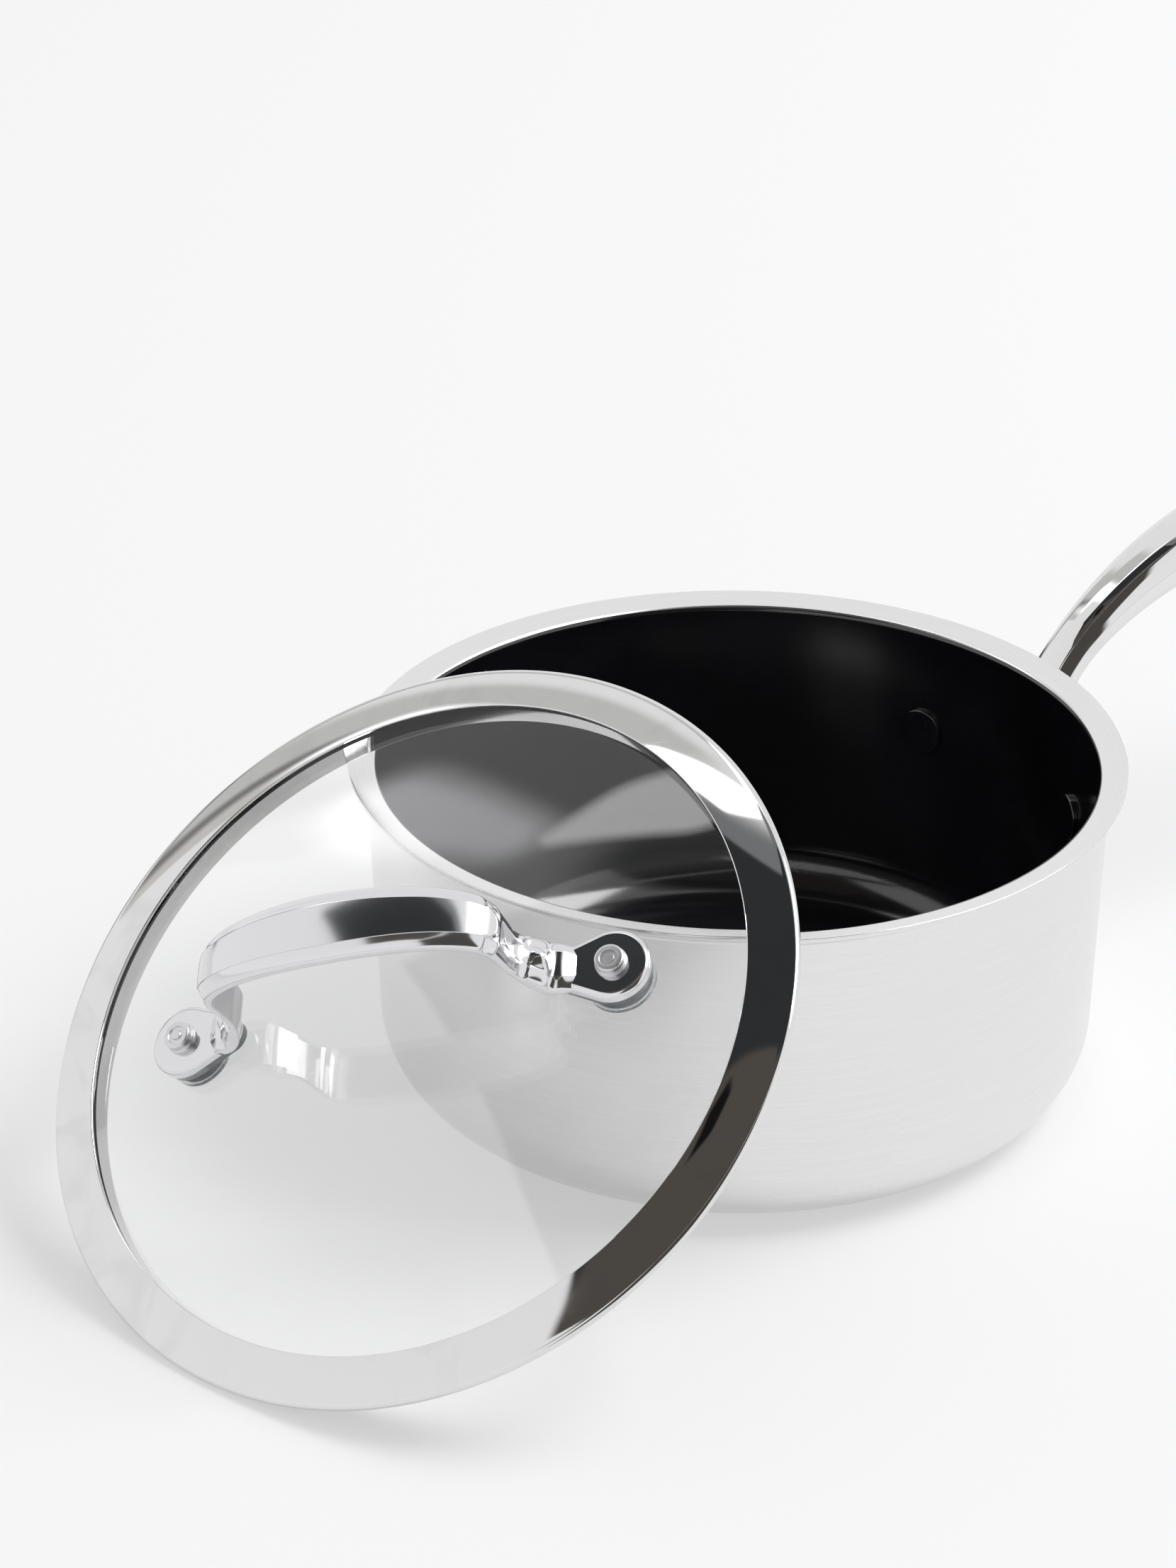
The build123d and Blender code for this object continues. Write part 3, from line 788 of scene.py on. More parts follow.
@dataclass(frozen=True)
class Looks:
    """The materials, each made once."""

    lid: Place
    brush: bpy.types.NodeTree = field(default_factory=brush_group)
    handling: bpy.types.NodeTree = field(default_factory=handling_group)

    def brushed(self, name: str, finish: Finish, local: Place | None = None) -> bpy.types.Material:
        """Return a satin steel with lines brushed or turned round an axis.

        Args:
            name: Name of the material.
            finish: Its colour, roughness and lines.
            local: Frame of the axis, if it isn't the row frame's.

        Returns:
            The material.
        """
        material, nodes, vector = start_material(name, local)
        brush = nodes.add("Group", {"Vector": vector, "Fineness": finish.fineness,
                                    "Depth": finish.depth}, node_tree=self.brush).outputs
        rough = nodes.math("ADD", nodes.ramp(brush["Lines"], 0.3, 0.7,
                                             finish.roughness - finish.spread,
                                             finish.roughness + finish.spread),
                           nodes.ramp(brush["Cloud"], 0.35, 0.7, -0.02, 0.03))
        color = nodes.mix(nodes.ramp(brush["Lines"], 0.3, 0.75),
                          finish.shade(0.95), finish.shade(1.0))
        steel = nodes.add("BsdfPrincipled", {
            "Base Color": color, "Metallic": 1.0, "Roughness": rough,
            "Anisotropic": finish.anisotropic, "Normal": brush["Normal"]})
        if finish.anisotropic:
            around = nodes.vector("CROSS_PRODUCT", (0.0, 0.0, 1.0), vector)
            nodes.tree.links.new(around, steel.inputs["Tangent"])
        nodes.add("OutputMaterial", {"Surface": steel.outputs[0]})
        return material

    def polished(self, name: str, finish: Finish, local: Place | None = None) -> bpy.types.Material:
        """Return a mirror steel with faint smudges and hairlines.

        Args:
            name: Name of the material.
            finish: Its colour, roughness and waves.
            local: Frame that the marks follow, if it isn't the row frame.

        Returns:
            The material.
        """
        material, nodes, vector = start_material(name, local)
        marks = nodes.add("Group", {"Vector": vector, "Wave": finish.wave},
                          node_tree=self.handling).outputs
        smudged = nodes.math("MULTIPLY_ADD", marks["Smudges"], finish.spread, finish.roughness)
        rough = nodes.math("ADD", smudged, nodes.math("MULTIPLY", marks["Scratches"], 0.06))
        steel = nodes.add("BsdfPrincipled", {
            "Base Color": nodes.mix(marks["Smudges"], finish.shade(1.0), finish.shade(0.93)),
            "Metallic": 1.0, "Roughness": rough, "Normal": marks["Normal"]})
        nodes.add("OutputMaterial", {"Surface": steel.outputs[0]})
        return material

    def ceramic(self, name: str) -> bpy.types.Material:
        """Return the satin black coating: a fine sprayed grain with a few pale specks of dust.

        Args:
            name: Name of the material.

        Returns:
            The material.
        """
        material, nodes, vector = start_material(name)
        grain = nodes.noise(vector, scale=2600.0, detail=2.0)
        cloud = nodes.noise(vector, scale=24.0, distortion=0.5)
        cells = nodes.add("TexVoronoi", {"Vector": vector, "Scale": 70.0, "Randomness": 1.0})
        specks = nodes.math("MULTIPLY",
                            nodes.ramp(cells.outputs["Distance"], 0.012, 0.03, 1.0, 0.0),
                            nodes.ramp(nodes.noise(vector, scale=30.0), 0.58, 0.66))
        color = nodes.mix(nodes.ramp(cloud, 0.3, 0.75), (0.0035, 0.0035, 0.0045, 1),
                          (0.0065, 0.0065, 0.009, 1))
        color = nodes.mix(nodes.math("MULTIPLY", specks, 0.5), color, (0.35, 0.35, 0.37, 1))
        black = nodes.add("BsdfPrincipled", {
            "Base Color": color, "Roughness": nodes.ramp(cloud, 0.3, 0.7, 0.12, 0.17),
            "Specular IOR Level": 1.0, "Normal": nodes.bump(0.25, 0.00003, grain)})
        nodes.add("OutputMaterial", {"Surface": black.outputs[0]})
        return material

    def clear_glass(self, name: str) -> bpy.types.Material:
        """Return clear glass with faint smudges, which lets light through to what it shades.

        Args:
            name: Name of the material.

        Returns:
            The material.
        """
        material, nodes, vector = start_material(name, self.lid)
        marks = nodes.add("Group", {"Vector": vector, "Wave": 0.0}, node_tree=self.handling)
        rough = nodes.math("MULTIPLY_ADD", marks.outputs["Smudges"], 0.012, 0.004)
        glass = nodes.add("BsdfPrincipled", {
            "Base Color": (0.995, 0.998, 1.0, 1), "IOR": 1.58, "Metallic": 0.0,
            "Transmission Weight": 1.0, "Roughness": rough})
        self.close_clear(nodes, glass, (0.99, 0.992, 0.994, 1))
        return material

    def silicone(self, name: str) -> bpy.types.Material:
        """Return translucent silicone with a faint moulded grain.

        Args:
            name: Name of the material.

        Returns:
            The material.
        """
        material, nodes, vector = start_material(name, self.lid)
        grain = nodes.noise(vector, scale=900.0, detail=2.0)
        soft = nodes.add("BsdfPrincipled", {
            "Base Color": nodes.mix(grain, (0.8, 0.83, 0.84, 1), (0.88, 0.9, 0.91, 1)),
            "Roughness": nodes.ramp(grain, 0.3, 0.7, 0.08, 0.16), "IOR": 1.41,
            "Transmission Weight": 0.9, "Normal": nodes.bump(0.04, 0.00003, grain)})
        self.close_clear(nodes, soft, (0.8, 0.82, 0.82, 1))
        return material

    @staticmethod
    def close_clear(nodes: Nodes, shader: bpy.types.Node, tint: tuple[float, ...]) -> None:
        """Finish a clear material, which shadow rays pass through with a tint.

        Args:
            nodes: Its nodes helper.
            shader: Node that every other ray meets.
            tint: Colour that the shadow rays take on.
        """
        see_through = nodes.add("BsdfTransparent", {"Color": tint})
        shadow = nodes.add("LightPath").outputs["Is Shadow Ray"]
        mixed = nodes.add("MixShader", {0: shadow, 1: shader.outputs[0],
                                        2: see_through.outputs[0]})
        nodes.add("OutputMaterial", {"Surface": mixed.outputs[0]})


def finish_piece(piece: bpy.types.Object, body: Body, slot: str,
                 materials: tuple[bpy.types.Material, ...], *nodes: str) -> None:
    """Give a piece its materials and its body, and hide the CAD nodes that it stands for.

    Args:
        piece: The piece.
        body: Body that it rides on.
        slot: Material slot of the record, which is not used.
        materials: One material for each of its own slots.
        nodes: CAD nodes that it replaces.
    """
    for material in materials:
        piece.data.materials.append(material)
    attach(piece, body.value)
    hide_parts(*nodes)


# ---------------------------------------------------------------- the pan
@dataclass(frozen=True)
class Pan:
    """The clad pan with its rivets."""

    sizes: PanSizes
    rivets: RivetSizes

    def skin(self, name: str, near: np.ndarray, far: np.ndarray, round_edge: float
             ) -> bpy.types.Object:
        """Return a layer between two faces, with the corner of its near face rounded.

        Args:
            name: Name of the piece.
            near: The face that shows.
            far: The face behind it.
            round_edge: Reach of the rounding.

        Returns:
            The piece.
        """
        end, before, behind = near[-1], near[-2], far[-1]
        corner = soften(np.array([before, end, behind]), round_edge, 5)[5:10]
        outline = np.vstack([near[:-1], corner, far[::-1]])
        return Shell(name).grid(turned(outline, segments=360)).build()

    def rivet_place(self, side: int) -> Place:
        """Return the frame on the outer wall at a rivet, with z outward.

        Args:
            side: 1 for the left rivet and -1 for the right one.

        Returns:
            The frame.
        """
        turn, draft = radians(self.rivets.spread * side), radians(self.sizes.draft)
        height = self.sizes.height - self.rivets.drop
        reach = self.sizes.reach(height)
        normal = np.array([cos(turn) * cos(draft), sin(turn) * cos(draft), -sin(draft)])
        across = np.array([-sin(turn), cos(turn), 0.0])
        origin = np.array([reach * cos(turn), reach * sin(turn), height])
        return Place(origin, np.array([across, np.cross(normal, across), normal]))

    def rivet(self, name: str, side: int) -> bpy.types.Object:
        """Return a rivet, with its head inside the pan in the second material slot.

        Args:
            name: Name of the piece.
            side: 1 for the left rivet and -1 for the right one.

        Returns:
            The piece.
        """
        size, face = self.rivets, self.rivets.sink - self.sizes.wall
        seat = size.plate - size.spot
        back = -self.sizes.wall - size.inner_height
        inner = np.vstack([[(0, back)],
                           arc((size.inner_head - size.inner_chamfer, back + size.inner_chamfer),
                               size.inner_chamfer, -90, 0, 6),
                           [(size.inner_head, face), (size.shank, face)]])
        top = seat + size.outer_height
        outer = np.vstack([[(size.shank, face), (size.shank, seat), (size.outer_head, seat)],
                           arc((size.outer_head - size.outer_fillet, top - size.outer_fillet),
                               size.outer_fillet, 0, 90, 8), [(0, top)]])
        place = self.rivet_place(side)
        shell = Shell(name).grid(turned(inner, place, segments=72), slot=1)
        return shell.grid(turned(outer, place, segments=72)).build()

    def build(self, looks: Looks) -> None:
        """Make the layers and the rivets.

        Args:
            looks: The materials.
        """
        size = self.sizes
        wall = looks.brushed("brushed_steel", Finish(
            (0.83, 0.828, 0.826), roughness=0.31, spread=0.025, fineness=2600.0, depth=0.04,
            anisotropic=0.4))
        rim = looks.brushed("rim_steel", Finish(
            (0.82, 0.815, 0.81), roughness=0.19, spread=0.03, fineness=3200.0, depth=0.06,
            anisotropic=0.3))
        black = looks.ceramic("nonstick")
        outer = self.skin("outer_skin", size.face(0, True), size.face(size.outer_skin, True),
                          size.rim_round)
        finish_piece(outer, Body.PAN, "brushed_steel", (wall,), "outer_steel_skin")
        inner = self.skin("inner_skin", size.face(0, False), size.face(size.inner_skin, False),
                          size.rim_round)
        finish_piece(inner, Body.PAN, "rim_steel", (rim,), "inner_steel_skin")
        coat = self.skin("coating", size.face(-size.coating, False, size.coating_stop),
                         size.face(0, False, size.coating_stop), size.coating_round)
        finish_piece(coat, Body.PAN, "nonstick", (black,), "nonstick_coating")
        head = looks.brushed("rivet_steel", Finish((0.6, 0.6, 0.61), roughness=0.22, spread=0.04),
                             self.rivet_place(1))
        for name, side in (("rivet_left", 1), ("rivet_right", -1)):
            finish_piece(self.rivet(f"{name}_steel", side), Body.PAN, "rivet_steel", (head, black),
                         name)


# ---------------------------------------------------------------- the long handle
@dataclass(frozen=True)
class GripSizes:
    """Long handle, in millimetres, degrees and shares.

    Each station is a share of the length, a half width and a thickness. The section is the right
    half of the outline, from the top to the underside, in shares of the two."""

    root_rise: float = 4.0
    root_reach: float = 2.1
    root_climb: float = 85.0
    neck_reach: float = 47.0
    neck_rise: float = 19.5
    neck_climb: float = 12.5
    neck_pull: float = 22.5
    length: float = 189.0
    tail_rise: float = 38.3
    tail_climb: float = 5.0
    grip_pull: float = 48.0
    tail_radius: float = 11.0
    tail_trim: float = 1.0
    tail_start: float = 0.93
    tail_stop: float = 0.995
    soft: float = 0.45
    hole: float = 4.5
    hole_low: float = -3.2
    hole_high: float = 3.4
    hole_flare: float = 0.35
    plate_width: float = 69.0
    plate_height: float = 25.0
    plate_end: float = 11.0
    plate_edge: float = 0.9
    plate_middle: float = 0.94
    stations: tuple[Triple, ...] = (
        (0.0, 12.0, 7.0), (0.034, 8.6, 7.4), (0.068, 6.6, 6.8), (0.104, 5.9, 6.6),
        (0.148, 6.2, 7.2), (0.203, 6.9, 8.6), (0.259, 7.6, 10.4), (0.315, 8.3, 11.8),
        (0.411, 9.2, 12.8), (0.554, 10.2, 12.8), (0.721, 10.8, 11.4), (0.877, 11.3, 8.6),
        (1.0, 11.3, 6.0))
    section: tuple[Pair, ...] = (
        (0.0, 0.5), (0.42, 0.475), (0.66, 0.41), (0.80, 0.22), (0.92, -0.04), (1.0, -0.30),
        (0.95, -0.42), (0.8, -0.48), (0.42, -0.5))


@dataclass(frozen=True)
class LongHandle:
    """The cast handle and the plate that the rivets clamp to the wall."""

    sizes: GripSizes
    pan: Pan

    @property
    def tail(self) -> np.ndarray:
        """End of the centre line."""
        size, body = self.sizes, self.pan.sizes
        return np.array([body.rim + size.length, body.height + size.tail_rise])

    def spine(self) -> np.ndarray:
        """Return the centre line: one curve up and out of the plate and one along the grip.

        Returns:
            Pairs of radius and height.
        """
        size, body, tail = self.sizes, self.pan.sizes, self.tail
        level = body.height - self.pan.rivets.drop + size.root_rise
        root = np.array([body.reach(level) + size.root_reach, level])
        neck = np.array([body.rim + size.neck_reach, body.height + size.neck_rise])
        rise = bezier([root, root + heading(size.root_climb) * size.neck_pull,
                       neck - heading(size.neck_climb) * size.neck_pull, neck])
        grip = bezier([neck, neck + heading(size.neck_climb) * size.grip_pull,
                       tail - heading(size.tail_climb) * size.grip_pull, tail])
        return np.vstack([rise, grip[1:]])

    def grip(self) -> np.ndarray:
        """Return the grid of the cast grip, whose tail is rounded about the hanging hole.

        The half width and the thickness are splines through the stations, and near the tail the
        half width is at most the root of radius^2 - distance^2 from the hole.

        Returns:
            Points of the grid.
        """
        size = self.sizes
        line = self.spine()
        share = np.r_[np.linspace(0, size.tail_start, 150),
                      np.linspace(size.tail_start + 0.001, size.tail_stop, 40)]
        knots, half, thick = np.array(size.stations).T
        half, thick = through(knots, half, share), through(knots, thick, share)
        length = np.linalg.norm(np.diff(line, axis=0), axis=1).sum()
        past = np.clip(size.tail_radius + size.tail_trim - (1 - share) * length, 0, None)
        half = np.minimum(half, np.where(past > 0, np.sqrt(np.clip(
            size.tail_radius ** 2 - past ** 2, 1.0, None)), half))
        right = np.array(size.section)
        outline = np.vstack([right, (right * (-1, 1))[:0:-1]])
        outlines = outline * np.stack([half, thick], axis=-1)[:, None, :]
        return swept(along(line, share), soften(outlines, size.soft))

    def plate(self) -> np.ndarray:
        """Return the grid of the plate that lies on the wall.

        A rounded rectangle is the radius times a unit normal, added to a centre that stands still
        at each corner and slides along each side. Its rings shrink through a quarter round and run
        in to the middle, and are wrapped on the wall: a point (y, z) at the thickness t lies at the
        distance y from the middle plane on the cone of radius r(z) + t.

        Returns:
            Points of the grid.
        """
        size, body = self.sizes, self.pan.sizes
        middle = body.height - self.pan.rivets.drop
        thick, edge, side, fill = self.pan.rivets.plate, size.plate_edge, 24, 12
        bend = np.linspace(0.2, np.pi / 2, 7)
        steps = np.vstack([[(0, 0), (0, thick - edge)], np.column_stack(
            [edge * (1 - np.cos(bend)), thick - edge + edge * np.sin(bend)])])
        across, up = size.plate_width / 2 - size.plate_end, size.plate_height / 2 - size.plate_end
        corners = np.array([(across, up), (-across, up), (-across, -up), (across, -up)])
        quarter = np.radians(np.arange(0, 90, 6))
        turn = quarter + np.radians([[0], [90], [180], [270]])
        slide = np.linspace(0, 1, side)[:, None]
        centre = np.concatenate([np.vstack([np.repeat(corners[i:i + 1], len(quarter), axis=0),
                                            corners[i] + (corners[(i + 1) % 4] - corners[i]) * slide])
                                 for i in range(4)])
        angle = np.concatenate([np.r_[turn[i], np.full(side, np.radians(90 * (i + 1)))]
                                for i in range(4)])
        rings = (centre[None] + (size.plate_end - steps[:, :1])[..., None]
                 * np.column_stack([np.cos(angle), np.sin(angle)])[None])
        inward = np.linspace(0.0, size.plate_middle, fill)[:, None, None]
        rings = np.concatenate([rings[:1] * inward, rings, rings[-1:] * inward[::-1]])
        lift = np.r_[[0.0] * fill, steps[:, 1], [thick] * fill][:, None]
        y, z = rings[..., 0], middle + rings[..., 1]
        radius = body.reach(0) + z * tan(radians(body.draft)) + lift
        return np.stack([np.sqrt(radius ** 2 - y ** 2), y, z], axis=-1)

    def tail_hole(self) -> bpy.types.Object:
        """Return the cutter of the hanging hole.

        Returns:
            The cutter.
        """
        size = self.sizes
        ahead, up = heading(size.tail_climb), heading(size.tail_climb + 90)
        centre = self.tail - ahead * (size.tail_radius + size.tail_trim)
        axes = np.array([(ahead[0], 0, ahead[1]), (0, 1, 0), (up[0], 0, up[1])])
        place = Place(np.array([centre[0], 0, centre[1]]), axes)
        return drill("hanging_hole", place, size.hole, size.hole_low, size.hole_high,
                     size.hole_flare)

    def build(self, looks: Looks) -> None:
        """Make the handle.

        Args:
            looks: The materials.
        """
        steel = looks.polished("polished_cast_steel",
                               Finish((0.77, 0.765, 0.76), roughness=0.025, spread=0.04, wave=0.3))
        shell = Shell("cast_handle").grid(self.grip()).grid(self.plate())
        piece = shell.build(crease=50.0, cutters=(self.tail_hole(),))
        finish_piece(piece, Body.PAN, "polished_cast_steel", (steel,), "long_handle")


# ---------------------------------------------------------------- the lid
@dataclass(frozen=True)
class StrapSizes:
    """Strap of the bridge handle, in millimetres, degrees and shares of its half length.

    Each station is a share of the way from a toe to the crown, a half width and a thickness."""

    toe_reach: float = 3.4
    toe_sink: float = 1.5
    toe_climb: float = 20.0
    toe_pull: float = 1.0
    leg_inset: float = 6.2
    foot_rise: float = 11.4
    foot_pull: float = 10.0
    leg_height: float = 6.5
    shoulder_pull: float = 6.5
    crown_pull: float = 20.3
    rise: float = 33.55
    bevel: float = 2.8
    bevel_depth: float = 0.5
    bevel_turn: float = 45.0
    seam: float = 0.02
    face_crown: float = 0.12
    face_lift: float = 0.22
    face_round: float = 0.05
    nib: float = 0.5
    step_at: float = 0.395
    step_run: float = 0.018
    step_foot: float = 0.2
    step: float = 0.55
    hollow_at: float = 0.3
    hollow_run: float = 0.085
    hollow: float = 1.1
    knuckle_at: float = 0.165
    knuckle_run: float = 0.05
    knuckle_round: float = 1.35
    knuckle: float = 1.9
    waist_at: float = 0.095
    waist_run: float = 0.022
    waist: float = 0.7
    stations: tuple[Triple, ...] = (
        (0.0, 4.6, 1.8), (0.08, 5.6, 4.2), (0.2, 5.0, 3.0), (0.29, 5.3, 2.7), (0.395, 5.9, 3.2),
        (0.47, 6.3, 3.6), (0.56, 6.7, 3.6), (0.705, 7.2, 3.6), (0.855, 7.6, 3.5), (1.0, 7.8, 3.5))


@dataclass(frozen=True)
class Lid:
    """The banded glass lid with its bridge handle and fixings."""

    sizes: LidSizes
    studs: StudSizes
    strap: StrapSizes
    pan: PanSizes

    @property
    def place(self) -> Place:
        """Frame of the lid."""
        return self.sizes.place(self.pan)

    @property
    def radius(self) -> float:
        """Radius of the band's outside."""
        return self.pan.rim + self.sizes.overhang

    @property
    def skirt(self) -> float:
        """Radius of the skirt's outside, which clears the inside of the wall."""
        return self.pan.reach(self.pan.height) - self.pan.wall - self.sizes.skirt_clearance

    @property
    def inner_radius(self) -> float:
        """Radius of the skirt's inside, where the glass starts to show."""
        return self.skirt - self.sizes.sheet

    @property
    def glass_radius(self) -> float:
        """Radius of the glass, whose edge the band hides."""
        return self.inner_radius + self.sizes.lap

    def stud_place(self, side: int) -> Place:
        """Return the frame square to the glass at a stud, with x outward and z up.

        Args:
            side: 1 for the left stud and -1 for the right one.

        Returns:
            The frame.
        """
        tilt = asin(self.studs.reach / self.sizes.dome)
        axes = np.array([(side * cos(tilt), 0, -sin(tilt)), (0, side, 0),
                         (side * sin(tilt), 0, cos(tilt))])
        point = np.array([side * self.studs.reach, 0, self.sizes.outer(self.studs.reach)])
        return self.place.moved(point, axes)

    def glass(self) -> bpy.types.Object:
        """Return the domed glass with ground edges and two holes.

        Returns:
            The piece.
        """
        size, edge = self.sizes, self.sizes.ground_edge
        reach = np.linspace(0, self.glass_radius - edge, 40)
        top = np.column_stack([reach, size.outer(reach)])
        under = np.column_stack([reach, size.inner(reach)])
        brow = np.array([(self.glass_radius, size.outer(self.glass_radius) - edge),
                         (self.glass_radius, size.inner(self.glass_radius) + edge)])
        outline = np.vstack([top, brow, under[::-1]])
        hole, past = self.studs.post + self.studs.hole_collar, 2.0
        cutters = tuple(drill(f"stud_hole_{side + 1}", self.stud_place(side), hole,
                              -size.glass - past, past) for side in (-1, 1))
        return Shell("glass_dome").grid(turned(outline, self.place)).build(cutters=cutters)

    def band(self) -> bpy.types.Object:
        """Return the folded steel band: rolled bead, face over the glass, lip and skirt.

        The face follows the glass at the sheet's thickness, plus a parabola that bulges by a hair
        half way across, and the part under the glass follows its inner side in the same way.

        Returns:
            The piece.
        """
        size, sheet, lip = self.sizes, self.sizes.sheet, self.sizes.lip
        inner, skirt, pocket = self.inner_radius, self.skirt, self.glass_radius + size.edge_gap
        face, ball = size.dome + sheet, size.dome - size.glass - sheet
        crown, low_crown = size.crown + sheet, size.crown - size.glass - sheet
        centre = (self.radius - size.bead,
                  float(size.level(face, self.radius - size.bead, crown)) - size.bead)
        reach = np.linspace(inner + lip, centre[0], 25)
        bulge = size.band_bulge * (1 - (2 * (reach - reach[0]) / np.ptp(reach) - 1) ** 2)
        top = np.column_stack([reach, size.level(face, reach, crown) + bulge])
        brow = arc((inner + lip, float(size.level(face, inner, crown)) - lip), lip, 180,
                   size.lip_stop, 6)
        lap = np.linspace(inner, pocket, 6)
        over = np.column_stack([lap, size.outer(lap)])
        back = np.column_stack([lap, size.inner(lap)])[::-1]
        foot = float(size.inner(inner)) - size.skirt_depth
        hem = arc(((inner + skirt) / 2, foot), sheet / 2, 180, 360, 9)
        reach = np.linspace(skirt, pocket + sheet, 6)
        under = np.column_stack([reach, size.level(ball, reach, low_crown)])
        bead = arc(centre, size.bead, -90, size.bead_stop, 15)
        outline = np.vstack([over, back, hem, under, [(pocket + sheet, bead[0, 1])], bead,
                             top[::-1], brow[::-1]])
        grid = turned(outline, self.place, segments=360)
        return Shell("steel_band").grid(grid, ring=True).build(crease=35.0)

    def pad(self, place: Place, low: float, high: float, fillet: float, margin: float, hole: float
            ) -> np.ndarray:
        """Return the grid of a teardrop plate with a round hole, as a closed ring of rings.

        The outline shrinks through a quarter round at the top, and then runs in to the hole.

        Args:
            place: Frame of the plate, with z up.
            low: Level of its underside.
            high: Level of its top.
            fillet: Radius of the rounding at its top.
            margin: How much wider it is all round than the pad's sizes.
            hole: Radius of the hole.

        Returns:
            Points of the grid.
        """
        size, count = self.studs, 96
        steps = [(0.0, low), (0.0, high - fillet)] + [
            (fillet * (1 - cos(a)), high - fillet + fillet * sin(a))
            for a in np.linspace(0.2, 1.57, 7)]
        rings = [np.column_stack([teardrop(size.pad + margin - inset, size.neck + margin - inset,
                                           size.inset, count), np.full(count, level)])
                 for inset, level in steps]
        way = rings[0][:, :2] / np.linalg.norm(rings[0][:, :2], axis=1, keepdims=True)
        eye = [np.column_stack([way * hole, np.full(count, level)]) for level in (high, low)]
        return place.points(np.array(rings + eye))

    def strap_grid(self) -> np.ndarray:
        """Return the grid of the strap, mirrored about the crown.

        Its line is a curve out of the pad, a straight leg and a curve over to the crown. Across it
        the bevel is the part of a circle from 45 degrees to level, scaled to the bevel's sizes.

        Returns:
            Points of the grid.
        """
        size, studs = self.strap, self.studs
        neck = studs.reach - studs.inset
        level = float(self.sizes.outer(neck)) + studs.washer + studs.pad_thickness
        toe = np.array([neck + size.toe_reach, level - size.toe_sink])
        foot = np.array([neck - size.leg_inset, level + size.foot_rise])
        top = foot + (0, size.leg_height)
        crown = np.array([0.0, self.sizes.crown + size.rise])
        half = np.vstack([
            bezier([toe, toe + heading(180 - size.toe_climb) * size.toe_pull,
                    foot - (0, size.foot_pull), foot]),
            np.linspace(foot, top, 20)[1:],
            bezier([top, top + (0, size.shoulder_pull), crown + (size.crown_pull, 0), crown])[1:]])
        share = np.linspace(0, 1, 210)
        line = along(half, share)
        knots, wide, thick = np.array(size.stations).T
        wide, thick = through(knots, wide, share)[:, None], through(knots, thick, share)[:, None]
        across = np.linspace(1, -1, 33)
        flat, top = wide - size.bevel, thick / 2 + self.relief(share[:, None], across)
        bend = np.radians(np.linspace(size.bevel_turn, 0, 8))
        outward = (np.cos(bend) - np.cos(bend[0])) / (1 - np.cos(bend[0]))
        drop = size.bevel_depth * (1 - np.sin(bend) / np.sin(bend[0]))
        lift = size.face_lift * np.clip((share[:, None] - size.step_at) / size.step_run, 0, 1)
        edge = np.stack([flat + size.bevel * (size.seam + (1 - size.seam) * outward),
                         top[:, :1] - lift - (thick - lift) * drop], axis=-1)
        foot = np.stack([np.hstack([wide, wide - size.nib / 3, wide - size.nib]),
                         np.hstack([size.nib - thick / 2, size.nib / 3 - thick / 2, -thick / 2])], -1)
        right = np.concatenate([edge, foot], axis=1)
        face = np.stack([across * flat, top], axis=-1)
        outlines = np.concatenate([right, (right * (-1, 1))[:, ::-1], face[:, :0:-1]], axis=1)
        line = np.vstack([line * (-1, 1), line[-2::-1]])
        return swept(line, np.concatenate([outlines, outlines[-2::-1]]), self.place)

    def relief(self, share: np.ndarray, across: np.ndarray) -> np.ndarray:
        """Return how far the strap's top stands above a plain bar.

        The ground face of the crown stands proud with a steep step at its end. Below it are a
        four-sided hollow, whose depth falls off with the larger of two distances, a half-round
        knuckle, which is a bell curve along the strap times a cosine across it, and a waist, which
        is a bell curve too.

        Args:
            share: Share of the way from a toe to the crown.
            across: Place across the top face, from -1 to 1.

        Returns:
            Heights in millimetres.
        """
        size = self.strap
        end = size.step_at + size.face_round * (1 - np.sqrt(1 - across ** 2))
        step = np.clip((share - end) / size.step_run, 0, 1)
        away = np.abs(share - size.hollow_at) / size.hollow_run
        hollow = np.clip(1 - np.maximum(away, np.abs(across)), 0, 1)
        bell = np.exp(-((share - size.knuckle_at) / size.knuckle_run) ** 2)
        waist = np.exp(-((share - size.waist_at) / size.waist_run) ** 2)
        return (size.step * (step - 1) * (share > size.step_foot) - size.hollow * hollow
                + size.face_crown * step * (1 - across ** 2)
                + size.knuckle * bell * np.cos(across * size.knuckle_round) - size.waist * waist)

    def handle(self) -> bpy.types.Object:
        """Return the bridge handle: the strap and its two pads.

        Returns:
            The piece.
        """
        size = self.studs
        shell = Shell("bridge_handle").grid(self.strap_grid())
        for side in (-1, 1):
            shell.grid(self.pad(self.stud_place(side), size.washer, size.washer + size.pad_thickness,
                                size.pad_fillet, -size.pad_trim, size.post), ring=True)
        return shell.build(crease=50.0)

    def post(self, name: str, side: int) -> bpy.types.Object:
        """Return a turned post with a collar on the pad and rings in its end.

        Args:
            name: Name of the piece.
            side: 1 for the left stud and -1 for the right one.

        Returns:
            The piece.
        """
        size, fillet, round_end = self.studs, self.studs.collar_fillet, self.studs.post_round
        low = -self.sizes.glass - size.seal_thickness
        pad = size.washer + size.pad_thickness
        top = pad + size.post_height
        wide, shelf = size.post + size.collar, pad + size.collar_height
        outline = np.vstack([
            [(0, low), (size.post, low), (size.post, pad), (wide, pad)],
            arc((wide - size.collar, shelf - size.collar), size.collar, 0, 90, 5),
            arc((size.post + fillet, shelf + fillet), fillet, -90, -180, 5),
            arc((size.post - round_end, top - round_end), round_end, 0, 90, 6),
            np.array(size.ring) + (0, top), [(0, top)]])
        grid = turned(outline, self.stud_place(side), segments=96)
        return Shell(name).grid(grid).build(crease=30.0)

